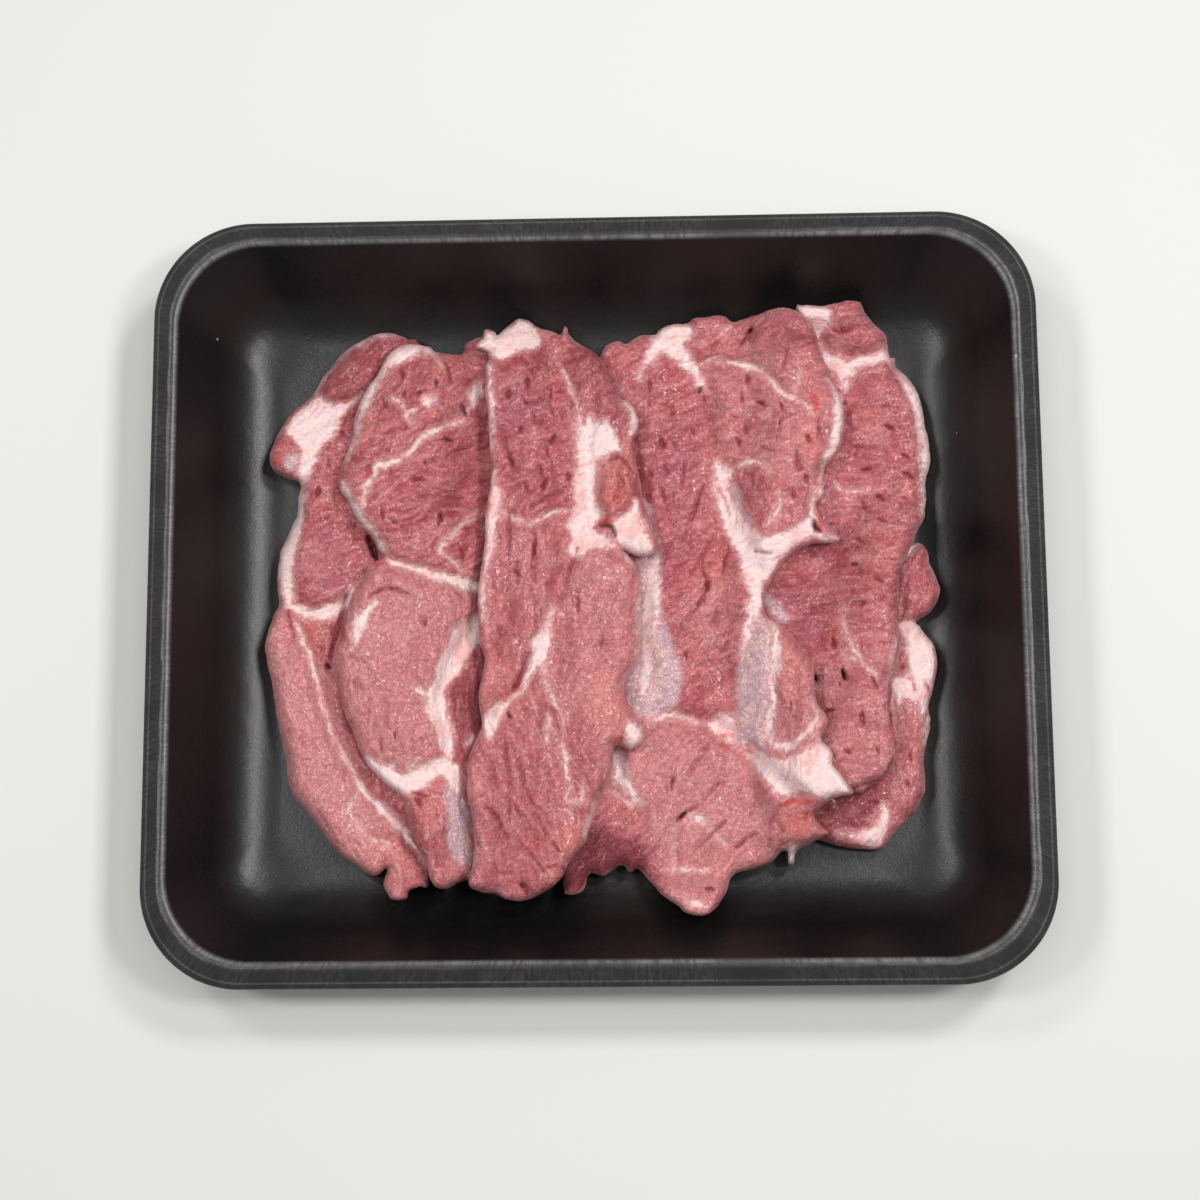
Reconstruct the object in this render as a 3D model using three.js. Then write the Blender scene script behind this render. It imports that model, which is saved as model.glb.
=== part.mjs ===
// A black foam tray of raw pork shoulder slices, laid over each other like shingles.
// Millimetres, +Z up. The origin is the middle of the tray's flat base.
// +X runs along the tray's long side and +Y towards its far side.
import * as THREE from "three";
import { mergeVertices } from "three/addons/utils/BufferGeometryUtils.js";

// Tray sizes
const trayWidth = 268.5;
const trayDepth = 232.5;
const trayHeight = 32;
const rimCornerRadius = 30;
const cornerTightening = 0.6; // a corner's radius shrinks by this share of the inset
const floorThickness = 3.5;
const wallThickness = 3.2;
const flangeWidth = 7; // from the cut lip in to the crest
const flangeFall = 3; // the flange slopes down to its lip by this much
const lipHeight = 3;
const wallRun = 18; // the wall leans in by this much from crest to floor
const floorFillet = 22; // broad and soft, inside
const baseFillet = 7;
const crestRadius = 2.6;
const crestPeak = 0.8; // the crest's lines meet this far above the tray's height, before it is rounded
const lipRounding = 0.9;
const undersideRise = 1.4; // from the lip to where the flange meets the wall
const undersideRounding = 2;
const flatRun = 40; // flat floor or base that a fillet is drawn against
const segmentsPerCorner = 9;
const stepsPerArc = 4;
const stepsPerSmallArc = 2;
const foamColour = 0x1c1b1d;
const foamRoughness = 0.55;

// Meat sizes
const restingGap = 0.8; // left between a slice and what it lies on
const edgeRounding = 7; // a slice's top rolls over within this distance of its edge
const edgeShare = 0.36; // thickness left at the edge, as a share of the full one
const stiffness = 3.5; // a slice bridges over anything narrower than about twice this
const steepestFall = 0.8; // how fast a slice can fall away beside what it lies on
const drapeReach = 9; // net cells over which a slice feels what it lies on
const swellFull = 0.6; // a muscle's swell is full within this share of its size
const swellGone = 1.25; // and gone beyond this one
const rowsPerSlice = 28;
const columnsPerSlice = 13;
const rowEasing = 0.5; // how much closer together the rows are near both ends
const columnEasing = 0.85;
const settlingRounds = 6; // halving steps that find the tray's height under a line of sight
const meatRoughness = 0.35;
const mergeWithin = 1e-3;
const drawnHeight = 24; // the slices' outlines are drawn as they look at this height
const lookedAtFrom = new THREE.Vector3(24, -111, 690); // from this point above the tray

// Each slice's outline runs along four sides. left and right go from the near end to the far end,
// near and far hold the points between their corners. swells are whole muscles that stand above
// the fat round them: middle, half length and half width, turn in degrees, and height.
// seams are the lines of fat that lie sunk between muscles: points, half width and depth.
const slices = [
  {
    name: "slice_right_low",
    thickness: 9,
    colour: 0xb4616a,
    left: [[58, -70], [62, -58], [76, -40], [80, -12], [84, 8], [89, 17]],
    far: [[93, 17.5]],
    right: [
      [84, -76.5], [93, -68], [97, -58], [98, -40], [101.5, -25], [100, -13], [97, -9.5], [102.5, -2],
      [101, 9], [97, 15],
    ],
    near: [[66, -74], [77, -77]],
    swells: [
      { at: [97, 3], size: [11, 6], turn: 90, height: 1.5 },
      { at: [93, -54], size: [16, 5], turn: 80, height: 1.2 },
    ],
    seams: [{ along: [[89, -9], [100, -12]], width: 4, depth: 1.5 }],
  },
  {
    name: "slice_right",
    thickness: 9,
    colour: 0xae5c66,
    left: [[64, -56], [56, -40], [50, -20], [48, 2], [53, 28], [58, 52], [60, 70], [64, 85]],
    far: [[69, 88.5], [76, 89]],
    right: [
      [84, -57.5], [90, -46], [88.5, -33], [92, -19], [91, -4], [93.5, 9], [98, 20], [101, 33],
      [101.5, 43], [99.5, 57], [94, 67], [91, 73], [88, 81], [82, 89],
    ],
    near: [[72, -60], [79, -60]],
    swells: [
      { at: [88, 34], size: [34, 11], turn: 92, height: 2 },
      { at: [77, -34], size: [22, 11], turn: 95, height: 1.5 },
      { at: [81, 81], size: [9, 6], turn: 0, height: 2 },
    ],
    seams: [
      { along: [[70, 76], [80, 71], [90, 73]], width: 4, depth: 1.8 },
      { along: [[76, -8], [84, -18], [90, -22]], width: 4, depth: 1 },
    ],
  },
  {
    name: "slice_left_low",
    thickness: 10.5,
    colour: 0xb8666e,
    left: [
      [-60, -90], [-64, -83.5], [-78, -75.5], [-87, -65], [-92, -52], [-95, -38], [-99, -15],
      [-95.5, -2], [-96, 8], [-91, 26], [-91, 35], [-98.5, 41], [-97.5, 48], [-92, 57.5], [-85, 65],
      [-79, 73], [-70, 80.5],
    ],
    far: [[-62, 82.5]],
    right: [[-46, -82], [-44, -60], [-47, -30], [-46, 0], [-47, 30], [-48, 58], [-53, 78]],
    near: [[-55, -89]],
    swells: [
      { at: [-82, 16], size: [23, 10], turn: 95, height: 1.8 },
      { at: [-88, -40], size: [34, 8], turn: 112, height: 1.8 },
      { at: [-73, 71], size: [13, 7], turn: 50, height: 1.8 },
    ],
    seams: [
      { along: [[-91, -5], [-85, -20], [-80, -38], [-70, -57], [-56, -72], [-49, -80]], width: 4, depth: 1.6 },
      { along: [[-92, 2], [-86, -5], [-75, -1]], width: 4, depth: 1.6 },
      { along: [[-94, 50], [-84, 55], [-74, 61]], width: 5, depth: 1.4 },
    ],
  },
  {
    name: "slice_centre_right",
    thickness: 9,
    colour: 0xb5636c,
    left: [[-7, -88], [-12, -74], [-12, -40], [-9, 0], [-6, 40], [-2, 62], [4, 77]],
    far: [[11, 78], [20, 81.5], [31, 84.5], [45, 85], [58, 87.8]],
    right: [
      [66.5, -72], [67.5, -66], [73.5, -59.5], [69.5, -51], [67, -42], [65.5, -32], [65, -22],
      [60, -13], [52, -6], [51.5, 1], [57, 8.5], [65, 13], [72, 16.5], [69.5, 24], [69, 32], [72, 41],
      [75.5, 50], [74.5, 61], [70, 73], [64, 85],
    ],
    near: [
      [-3, -84.5], [4, -84], [12, -82], [21, -90.5], [30, -95.5], [37, -91], [43, -84], [52, -81],
      [58, -77.5],
    ],
    swells: [
      { at: [26, 16], size: [54, 9], turn: 98, height: 1.6 },
      { at: [54, 50], size: [24, 15], turn: 110, height: 1.8 },
      { at: [33, -62], size: [20, 17], turn: 0, height: 2 },
      { at: [59, -28], size: [17, 5], turn: 95, height: 2 },
      { at: [50, 78], size: [16, 6], turn: 10, height: 1 },
    ],
    seams: [
      { along: [[33, 70], [36, 55], [38, 38], [43, 22], [50, 5], [47, -12]], width: 5, depth: 2 },
      { along: [[36, 71], [50, 69], [58, 61], [66, 55]], width: 4, depth: 1.4 },
      { along: [[5, -30], [20, -37], [35, -39], [47, -50], [60, -62]], width: 5, depth: 2 },
      { along: [[16, 14], [14, -12], [18, -30]], width: 4.5, depth: 1.4 },
      { along: [[8, -45], [6, -58], [13, -68]], width: 4.5, depth: 1.6 },
    ],
  },
  {
    name: "slice_left",
    thickness: 9.5,
    colour: 0xb65f69,
    left: [
      [-46, -87], [-51, -80], [-56, -68], [-65, -57], [-70, -42], [-77, -25], [-78, -14], [-72, 0],
      [-66, 10], [-67, 18], [-73, 27], [-78, 37], [-74.5, 48], [-71, 60], [-66, 70], [-60, 77],
    ],
    far: [[-54, 78.5], [-47, 76], [-40, 76.5], [-35, 80]],
    right: [[-34, -84], [-23, -60], [-18, -20], [-16, 20], [-18, 52], [-27, 78]],
    near: [[-40, -86]],
    swells: [
      { at: [-54, 46], size: [32, 17], turn: 62, height: 2 },
      { at: [-60, -22], size: [29, 14], turn: 105, height: 2 },
      { at: [-50, -68], size: [9, 5], turn: 90, height: 1.2 },
    ],
    seams: [
      { along: [[-64, 11], [-52, 8], [-35, 2]], width: 4.5, depth: 2.2 },
      { along: [[-36, -8], [-44, -21], [-47, -34], [-44, -46]], width: 4, depth: 1.6 },
      { along: [[-67, -50], [-57, -55], [-44, -50]], width: 4.5, depth: 1.8 },
      { along: [[-42, 55], [-56, 45], [-70, 31]], width: 3.5, depth: 0.9 },
    ],
  },
  {
    name: "slice_centre_left",
    thickness: 10,
    colour: 0xbb6a72,
    left: [
      [-33, -87.5], [-37.5, -80], [-37, -62], [-35, -42], [-34, -28], [-35, -8], [-32, 10], [-32.5, 26],
      [-31, 42], [-32, 56], [-31, 70], [-35, 77], [-31, 82.5],
    ],
    far: [[-26, 84], [-20, 86], [-14, 82], [-7, 79.5]],
    right: [
      [-13, -89], [-8, -82], [-3, -73], [1, -60], [5, -52], [7, -46.5], [13.5, -43], [10, -34],
      [9, -26], [13.5, -16], [13.5, 2], [9, 14], [4, 20.5], [13, 26], [14.5, 33], [13.5, 44],
      [13.5, 55], [8, 61], [5, 69], [0, 75],
    ],
    near: [[-24, -91]],
    swells: [
      { at: [-17, 50], size: [27, 10], turn: 95, height: 2.2 },
      { at: [-18, 4], size: [22, 10], turn: 100, height: 1.4 },
      { at: [2, -16], size: [30, 11], turn: 95, height: 2 },
      { at: [7, 33], size: [10, 5.5], turn: 80, height: 2 },
      { at: [-22, -66], size: [25, 12], turn: 105, height: 1.8 },
    ],
    seams: [
      { along: [[0, 66], [-2, 45], [-1, 28], [2, 18]], width: 4, depth: 1.8 },
      { along: [[-28, 24], [-18, 23], [-6, 26]], width: 3.5, depth: 1.2 },
      { along: [[-10, 6], [-15, -12], [-21, -27], [-31, -38]], width: 4.5, depth: 2.2 },
      { along: [[-13, -36], [-8, -50], [-3, -62]], width: 4, depth: 1.2 },
    ],
  },
];

// Tray

// Points of an arc that rounds the corner at b between a and c. Each point is [inset, height].
function roundedCorner(a, b, c, radius, steps) {
  const [pa, pb, pc] = [a, b, c].map((p) => new THREE.Vector2(...p));
  const toA = pa.clone().sub(pb).normalize();
  const toC = pc.clone().sub(pb).normalize();
  const half = Math.acos(THREE.MathUtils.clamp(toA.dot(toC), -1, 1)) / 2;
  const centre = pb.clone().addScaledVector(toA.clone().add(toC).normalize(), radius / Math.sin(half));
  const start = pb.clone().addScaledVector(toA, radius / Math.tan(half)).sub(centre).angle();
  let sweep = pb.clone().addScaledVector(toC, radius / Math.tan(half)).sub(centre).angle() - start;
  sweep -= 2 * Math.PI * Math.round(sweep / (2 * Math.PI));
  return Array.from({ length: steps + 1 }, (_, i) => {
    const angle = start + (sweep * i) / steps;
    return [centre.x + radius * Math.cos(angle), centre.y + radius * Math.sin(angle)];
  });
}

const wallSlope = (trayHeight - floorThickness) / wallRun;
const wallShift = wallThickness * Math.hypot(1, 1 / wallSlope); // measured level
const insideFoot = flangeWidth + wallRun;
const outsideAt = (height) => flangeWidth + (trayHeight - height) / wallSlope - wallShift;
const flangeUnderside = trayHeight - flangeFall - lipHeight;

// The section's corners before they are rounded
const flatFloor = [insideFoot + flatRun, floorThickness];
const foot = [insideFoot, floorThickness];
const wallTop = [flangeWidth, trayHeight];
const crest = [flangeWidth, trayHeight + crestPeak];
const lipTop = [0, trayHeight - flangeFall];
const lipBottom = [0, flangeUnderside];
const wallMeet = [outsideAt(flangeUnderside + undersideRise), flangeUnderside + undersideRise];
const baseCorner = [outsideAt(0), 0];
const flatBase = [outsideAt(0) + flatRun, 0];

const insideProfile = [
  ...roundedCorner(flatFloor, foot, wallTop, floorFillet, stepsPerArc),
  ...roundedCorner(foot, crest, lipTop, crestRadius, stepsPerArc),
];
const outsideProfile = [
  ...roundedCorner(crest, lipTop, lipBottom, lipRounding, stepsPerSmallArc),
  ...roundedCorner(lipTop, lipBottom, wallMeet, lipRounding, stepsPerSmallArc),
  ...roundedCorner(lipBottom, wallMeet, baseCorner, undersideRounding, stepsPerSmallArc),
  ...roundedCorner(wallMeet, baseCorner, flatBase, baseFillet, stepsPerArc),
];

// The height of the tray's inside above a point that far in from its lip.
function insideHeight(inset) {
  for (let i = 1; i < insideProfile.length; i++) {
    const [outer, inner] = [insideProfile[i], insideProfile[i - 1]];
    if (inset >= outer[0] && inset <= inner[0]) {
      return THREE.MathUtils.mapLinear(inset, outer[0], inner[0], outer[1], inner[1]);
    }
  }
  return inset > insideProfile[0][0] ? floorThickness : trayHeight;
}

function trayRing(inset, height) {
  const radius = rimCornerRadius - cornerTightening * Math.min(inset, insideFoot);
  const across = trayWidth / 2 - inset - radius;
  const along = trayDepth / 2 - inset - radius;
  const ring = [];
  for (let corner = 0; corner < 4; corner++) {
    const cx = corner === 0 || corner === 3 ? across : -across;
    const cy = corner < 2 ? along : -along;
    for (let i = 0; i <= segmentsPerCorner; i++) {
      const angle = ((corner + i / segmentsPerCorner) * Math.PI) / 2;
      ring.push([cx + radius * Math.cos(angle), cy + radius * Math.sin(angle), height]);
    }
  }
  return ring;
}

function trayGeometry() {
  const rings = [...insideProfile, ...outsideProfile].map(([inset, height]) => trayRing(inset, height));
  const count = rings[0].length;
  const points = rings.flat();
  const faces = [];
  for (let r = 0; r + 1 < rings.length; r++) {
    for (let i = 0; i < count; i++) {
      const j = (i + 1) % count;
      const [a, b, c, d] = [r * count + i, r * count + j, (r + 1) * count + j, (r + 1) * count + i];
      faces.push([a, d, b], [b, d, c]);
    }
  }
  const floorMiddle = points.push([0, 0, floorThickness]) - 1;
  const baseMiddle = points.push([0, 0, 0]) - 1;
  const lastRing = (rings.length - 1) * count;
  for (let i = 0; i < count; i++) {
    const j = (i + 1) % count;
    faces.push([floorMiddle, i, j], [baseMiddle, lastRing + j, lastRing + i]);
  }
  return solid(points, faces);
}

// Height of the pile, on a square net of points

const net = { step: 1.5, lowX: -111, lowY: -102, columns: 149, rows: 134 };
const lastCell = 1.001; // keeps a point on the net's far edge inside its last cell
const netX = (i) => net.lowX + (i % net.columns) * net.step;
const netY = (i) => net.lowY + Math.floor(i / net.columns) * net.step;

function heightAt(field, x, y) {
  const u = THREE.MathUtils.clamp((x - net.lowX) / net.step, 0, net.columns - lastCell);
  const v = THREE.MathUtils.clamp((y - net.lowY) / net.step, 0, net.rows - lastCell);
  const [i, j] = [Math.floor(u), Math.floor(v)];
  const at = (di, dj) => field[(j + dj) * net.columns + i + di];
  const near = THREE.MathUtils.lerp(at(0, 0), at(1, 0), u - i);
  const far = THREE.MathUtils.lerp(at(0, 1), at(1, 1), u - i);
  return THREE.MathUtils.lerp(near, far, v - j);
}

// The surface that a limp slice takes up on the pile: it bridges short gaps and falls away
// no faster than steepestFall beside what it lies on.
function drape(pile) {
  const draped = pile.slice();
  const offsets = [];
  for (let dj = -drapeReach; dj <= drapeReach; dj++) {
    for (let di = -drapeReach; di <= drapeReach; di++) {
      const distance = Math.hypot(di, dj) * net.step;
      offsets.push([di, dj, Math.max(0, distance - stiffness) * steepestFall]);
    }
  }
  for (let j = 0; j < net.rows; j++) {
    for (let i = 0; i < net.columns; i++) {
      let highest = 0;
      for (const [di, dj, drop] of offsets) {
        const [ii, jj] = [i + di, j + dj];
        if (ii < 0 || jj < 0 || ii >= net.columns || jj >= net.rows) continue;
        highest = Math.max(highest, pile[jj * net.columns + ii] - drop);
      }
      draped[j * net.columns + i] = highest;
    }
  }
  return draped;
}

// Slices

// Points at even steps along a smooth curve through the given ones.
function alongCurve(points, fractions) {
  const spots = points.map(([x, y]) => new THREE.Vector3(x, y, 0));
  const curve = new THREE.CatmullRomCurve3(spots, false, "catmullrom", 0.5);
  return fractions.map((f) => curve.getPointAt(f));
}

// Steps from 0 to 1 that are closer together near both ends.
function easedSteps(count, share) {
  return Array.from({ length: count + 1 }, (_, i) => {
    const even = i / count;
    return THREE.MathUtils.lerp(even, 0.5 - 0.5 * Math.cos(Math.PI * even), share);
  });
}

// A slice's plan as rows of points, blended from its four sides (a Coons patch).
function planOf(slice) {
  const rows = easedSteps(rowsPerSlice, rowEasing);
  const columns = easedSteps(columnsPerSlice, columnEasing);
  const left = alongCurve(slice.left, rows);
  const right = alongCurve(slice.right, rows);
  const near = alongCurve([slice.left[0], ...slice.near, slice.right[0]], columns);
  const far = alongCurve([slice.left.at(-1), ...slice.far, slice.right.at(-1)], columns);
  const between = (a, b, f) => a.clone().lerp(b, f);
  return rows.map((s, r) =>
    columns.map((t, c) => {
      const corners = between(between(left[0], right[0], t), between(left.at(-1), right.at(-1), t), s);
      return between(left[r], right[r], t).add(between(near[c], far[c], s)).sub(corners);
    }),
  );
}

function borderOf(plan) {
  const last = plan.length - 1;
  const end = plan[0].length - 1;
  return [
    ...plan[0].slice(0, end),
    ...plan.slice(0, last).map((row) => row[end]),
    ...plan[last].slice(1).reverse(),
    ...plan.slice(1).map((row) => row[0]).reverse(),
  ];
}

// The distance from a point to a line of points in plan.
function distanceToPath(path, x, y) {
  let nearest = Infinity;
  for (let i = 1; i < path.length; i++) {
    const [a, b] = [path[i - 1], path[i]];
    const [dx, dy] = [b.x - a.x, b.y - a.y];
    const f = THREE.MathUtils.clamp(((x - a.x) * dx + (y - a.y) * dy) / (dx * dx + dy * dy), 0, 1);
    nearest = Math.min(nearest, Math.hypot(a.x + f * dx - x, a.y + f * dy - y));
  }
  return nearest;
}

function isInside(border, x, y) {
  let inside = false;
  border.forEach((a, i) => {
    const b = border[(i + 1) % border.length];
    if (a.y > y !== b.y > y && x < ((b.x - a.x) * (y - a.y)) / (b.y - a.y) + a.x) inside = !inside;
  });
  return inside;
}

// How thick a slice is at a point: rounded off towards its edge and fuller over each muscle.
function thicknessAt(slice, border, x, y) {
  const share = Math.min(1, distanceToPath([...border, border[0]], x, y) / edgeRounding);
  const round = edgeShare + (1 - edgeShare) * Math.sqrt(1 - (1 - share) ** 2);
  let swell = 0;
  for (const { at, size, turn, height } of slice.swells) {
    const angle = THREE.MathUtils.degToRad(turn);
    const along = ((x - at[0]) * Math.cos(angle) + (y - at[1]) * Math.sin(angle)) / size[0];
    const across = ((y - at[1]) * Math.cos(angle) - (x - at[0]) * Math.sin(angle)) / size[1];
    const fall = THREE.MathUtils.smoothstep(Math.hypot(along, across), swellFull, swellGone);
    swell = Math.max(swell, height * (1 - fall));
  }
  for (const { along, width, depth } of slice.seams) {
    const points = along.map(([px, py]) => new THREE.Vector2(px, py));
    swell -= depth * (1 - THREE.MathUtils.smoothstep(distanceToPath(points, x, y), 0, width));
  }
  return slice.thickness * round + swell * share;
}

function sliceGeometry(slice, plan, border, draped) {
  const [rows, columns] = [plan.length, plan[0].length];
  const points = [];
  const bottomOf = (p) => heightAt(draped, p.x, p.y) + restingGap;
  const topOf = (p) => bottomOf(p) + thicknessAt(slice, border, p.x, p.y);
  for (const p of plan.flat()) points.push(placed(p.x, p.y, topOf(p)));
  for (const p of plan.flat()) points.push(placed(p.x, p.y, bottomOf(p)));
  const faces = [];
  const under = rows * columns;
  const at = (r, c) => r * columns + c;
  for (let r = 0; r + 1 < rows; r++) {
    for (let c = 0; c + 1 < columns; c++) {
      const [a, b, d, e] = [at(r, c), at(r, c + 1), at(r + 1, c + 1), at(r + 1, c)];
      faces.push([a, b, d], [a, d, e], [under + a, under + d, under + b], [under + a, under + e, under + d]);
    }
  }
  const edge = [];
  for (let c = 0; c < columns - 1; c++) edge.push(at(0, c));
  for (let r = 0; r < rows - 1; r++) edge.push(at(r, columns - 1));
  for (let c = columns - 1; c > 0; c--) edge.push(at(rows - 1, c));
  for (let r = rows - 1; r > 0; r--) edge.push(at(r, 0));
  edge.forEach((a, i) => {
    const b = edge[(i + 1) % edge.length];
    faces.push([a, under + a, b], [b, under + a, under + b]);
  });
  return solid(points, faces);
}

// Adds the slice to the pile's heights.
function pileUp(pile, slice, border, draped) {
  const box = new THREE.Box2().setFromPoints(border.map((p) => new THREE.Vector2(p.x, p.y)));
  for (let i = 0; i < pile.length; i++) {
    const [x, y] = [netX(i), netY(i)];
    if (!box.containsPoint(new THREE.Vector2(x, y)) || !isInside(border, x, y)) continue;
    pile[i] = Math.max(pile[i], draped[i] + restingGap + thicknessAt(slice, border, x, y));
  }
}

// Carries a drawn point along its line of sight to its own height.
function placed(x, y, z) {
  const share = (drawnHeight - z) / (lookedAtFrom.z - drawnHeight);
  return [x + (x - lookedAtFrom.x) * share, y + (y - lookedAtFrom.y) * share, z];
}

function solid(points, faces) {
  const geometry = new THREE.BufferGeometry();
  geometry.setAttribute("position", new THREE.Float32BufferAttribute(points.flat(), 3));
  geometry.setIndex(faces.flat());
  return mergeVertices(geometry, mergeWithin);
}

function piece(name, geometry, colour, roughness) {
  geometry.computeVertexNormals();
  const material = new THREE.MeshStandardMaterial({ color: colour, roughness, metalness: 0 });
  const mesh = new THREE.Mesh(geometry, material);
  mesh.name = name;
  return mesh;
}

const pack = new THREE.Group();
pack.add(piece("tray", trayGeometry(), foamColour, foamRoughness));

const pile = new Float32Array(net.columns * net.rows);
pile.forEach((_, i) => {
  pile[i] = floorThickness;
  for (let round = 0; round < settlingRounds; round++) {
    const [x, y] = placed(netX(i), netY(i), pile[i] + restingGap);
    const inset = Math.min(trayWidth / 2 - Math.abs(x), trayDepth / 2 - Math.abs(y));
    pile[i] = (pile[i] + insideHeight(inset)) / 2;
  }
});
for (const slice of slices) {
  const plan = planOf(slice);
  const border = borderOf(plan);
  const draped = drape(pile);
  pack.add(piece(slice.name, sliceGeometry(slice, plan, border, draped), slice.colour, meatRoughness));
  pileUp(pile, slice, border, draped);
}

export default pack;
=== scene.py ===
# An open black foam tray of six raw pork shoulder slices, seen from above.
# Lengths are in millimetres until a mesh is made, and then in metres.
import bpy
import numpy as np
from math import cos, radians, sin
from mathutils import Matrix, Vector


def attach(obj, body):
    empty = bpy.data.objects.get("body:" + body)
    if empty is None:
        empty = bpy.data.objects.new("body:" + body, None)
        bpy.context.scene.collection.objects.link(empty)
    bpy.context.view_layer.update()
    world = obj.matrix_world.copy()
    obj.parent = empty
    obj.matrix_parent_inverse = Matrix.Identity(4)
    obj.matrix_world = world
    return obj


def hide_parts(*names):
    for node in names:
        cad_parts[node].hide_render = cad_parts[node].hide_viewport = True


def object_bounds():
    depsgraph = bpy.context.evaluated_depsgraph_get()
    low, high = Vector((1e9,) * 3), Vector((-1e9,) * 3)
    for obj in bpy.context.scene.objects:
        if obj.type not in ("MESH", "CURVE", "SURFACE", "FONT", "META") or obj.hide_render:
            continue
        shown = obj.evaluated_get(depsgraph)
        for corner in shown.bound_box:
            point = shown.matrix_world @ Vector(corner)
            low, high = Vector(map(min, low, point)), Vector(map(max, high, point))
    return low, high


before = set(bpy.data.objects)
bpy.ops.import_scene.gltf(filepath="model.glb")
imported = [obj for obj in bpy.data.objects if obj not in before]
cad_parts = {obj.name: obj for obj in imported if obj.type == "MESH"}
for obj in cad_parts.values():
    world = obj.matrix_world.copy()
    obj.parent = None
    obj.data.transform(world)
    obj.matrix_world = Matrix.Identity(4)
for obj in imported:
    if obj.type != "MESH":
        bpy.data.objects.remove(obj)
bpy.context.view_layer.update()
metre = 0.001
farAway = 1e4  # mm, more than any distance in the pack
outOfReach = 9.0  # mm, beyond which a stroke or patch has no effect
intoMillimetres = (1000, 1000, 1000)
latticeCells = 96  # of the value noise, before it repeats
latticeShift = 4000  # cells, keeps every place in the pack above zero
octaves = 3
endShare = 0.25  # of a stroke's width, that is left at its ends
endClear = 0.02  # of a stroke's length, over which the taper stays the same

# Curves and fields

def pairs(values):
    # A flat list x, y, x, y as rows of points.
    return np.array(values, float).reshape(-1, 2)


def smoothPath(points, closed=False, pieces=4):
    # Catmull-Rom curve: each span is the cubic through its two points whose end slopes are
    # half the step between the points on either side.
    if closed:
        before, here, after, later = (np.roll(points, shift, axis=0) for shift in (1, 0, -1, -2))
    else:
        padded = np.vstack([2 * points[0] - points[1], points, 2 * points[-1] - points[-2]])
        before, here, after, later = padded[:-3], padded[1:-2], padded[2:-1], padded[3:]
    t = (np.arange(pieces) / pieces)[None, :, None]
    slopeHere = (0.5 * (after - before))[:, None, :]
    slopeAfter = (0.5 * (later - here))[:, None, :]
    here, after = here[:, None, :], after[:, None, :]
    curve = (here + slopeHere * t + (3 * (after - here) - 2 * slopeHere - slopeAfter) * t ** 2
             + (2 * (here - after) + slopeHere + slopeAfter) * t ** 3).reshape(-1, 2)
    return curve if closed else np.vstack([curve, points[-1:]])


def segmentDistance(x, y, a, b):
    # Distance from points to the segment a-b, and how far along it the nearest spot is.
    d = b - a
    f = np.clip(((x - a[0]) * d[0] + (y - a[1]) * d[1]) / max(d @ d, 1e-9), 0, 1)
    return np.hypot(a[0] + f * d[0] - x, a[1] + f * d[1] - y), f


def pathDistance(x, y, path):
    # Smallest distance from points to a line of segments.
    nearest = np.full(x.shape, farAway)
    for a, b in zip(path[:-1], path[1:]):
        nearest = np.minimum(nearest, segmentDistance(x, y, a, b)[0])
    return nearest


def strokeDistance(x, y, path, width):
    # Distance to a tapering stroke's edge, negative inside. The half width is a quarter of its full size
    # plus three quarters of it times the root of half a sine wave along the stroke.
    steps = np.hypot(*np.diff(path, axis=0).T)
    run = np.concatenate([[0], np.cumsum(steps)]) / max(steps.sum(), 1e-6)
    nearest = np.full(x.shape, farAway)
    for i, (a, b) in enumerate(zip(path[:-1], path[1:])):
        distance, f = segmentDistance(x, y, a, b)
        place = run[i] + f * (run[i + 1] - run[i])
        taper = np.sin(np.pi * np.clip(place, endClear, 1 - endClear)) ** 0.5
        half = width / 2 * (endShare + (1 - endShare) * taper)
        nearest = np.minimum(nearest, distance - half)
    return nearest


def outlineDistance(x, y, outline):
    # Signed distance to a closed outline, negative inside. Inside means an odd number of crossings.
    nearest = np.full(x.shape, farAway)
    inside = np.zeros(x.shape, bool)
    for a, b in zip(outline, np.roll(outline, -1, axis=0)):
        nearest = np.minimum(nearest, segmentDistance(x, y, a, b)[0])
        if a[1] != b[1]:
            crosses = (a[1] > y) != (b[1] > y)
            inside ^= crosses & (x < (b[0] - a[0]) * (y - a[1]) / (b[1] - a[1]) + a[0])
    return np.where(inside, -nearest, nearest)


def ellipseDistance(x, y, ellipse):
    # Distance from an ellipse's middle as a share of its half sizes, 1 on its rim. An ellipse starts with
    # x, y, half length, half width and turn.
    middleX, middleY, length, width, turn = ellipse[:5]
    c, s = cos(radians(turn)), sin(radians(turn))
    along = ((x - middleX) * c + (y - middleY) * s) / length
    across = ((y - middleY) * c - (x - middleX) * s) / width
    return np.hypot(along, across)


def smoothStep(low, high, value):
    # 0 below low, 1 above high, and 3t^2 - 2t^3 between.
    t = np.clip((value - low) / (high - low), 0, 1)
    return t * t * (3 - 2 * t)


def between(values, i, j, fu, fv):
    # A lattice's values blended between the corners of a cell, by the shares fu and fv of its sides.
    low = values[j, i] * (1 - fu) + values[j, i + 1] * fu
    high = values[j + 1, i] * (1 - fu) + values[j + 1, i + 1] * fu
    return low * (1 - fv) + high * fv


def softNoise(x, y, size, seed):
    # Value noise from -1 to 1: seeded values on a lattice of that size, eased between its corners.
    values = np.random.default_rng(seed).uniform(-1, 1, (latticeCells + 1, latticeCells + 1))
    u, v = x / size + latticeShift, y / size + latticeShift
    i, j = np.floor(u).astype(int), np.floor(v).astype(int)
    fu, fv = smoothStep(0, 1, u - i), smoothStep(0, 1, v - j)
    return between(values, i % latticeCells, j % latticeCells, fu, fv)


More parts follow.
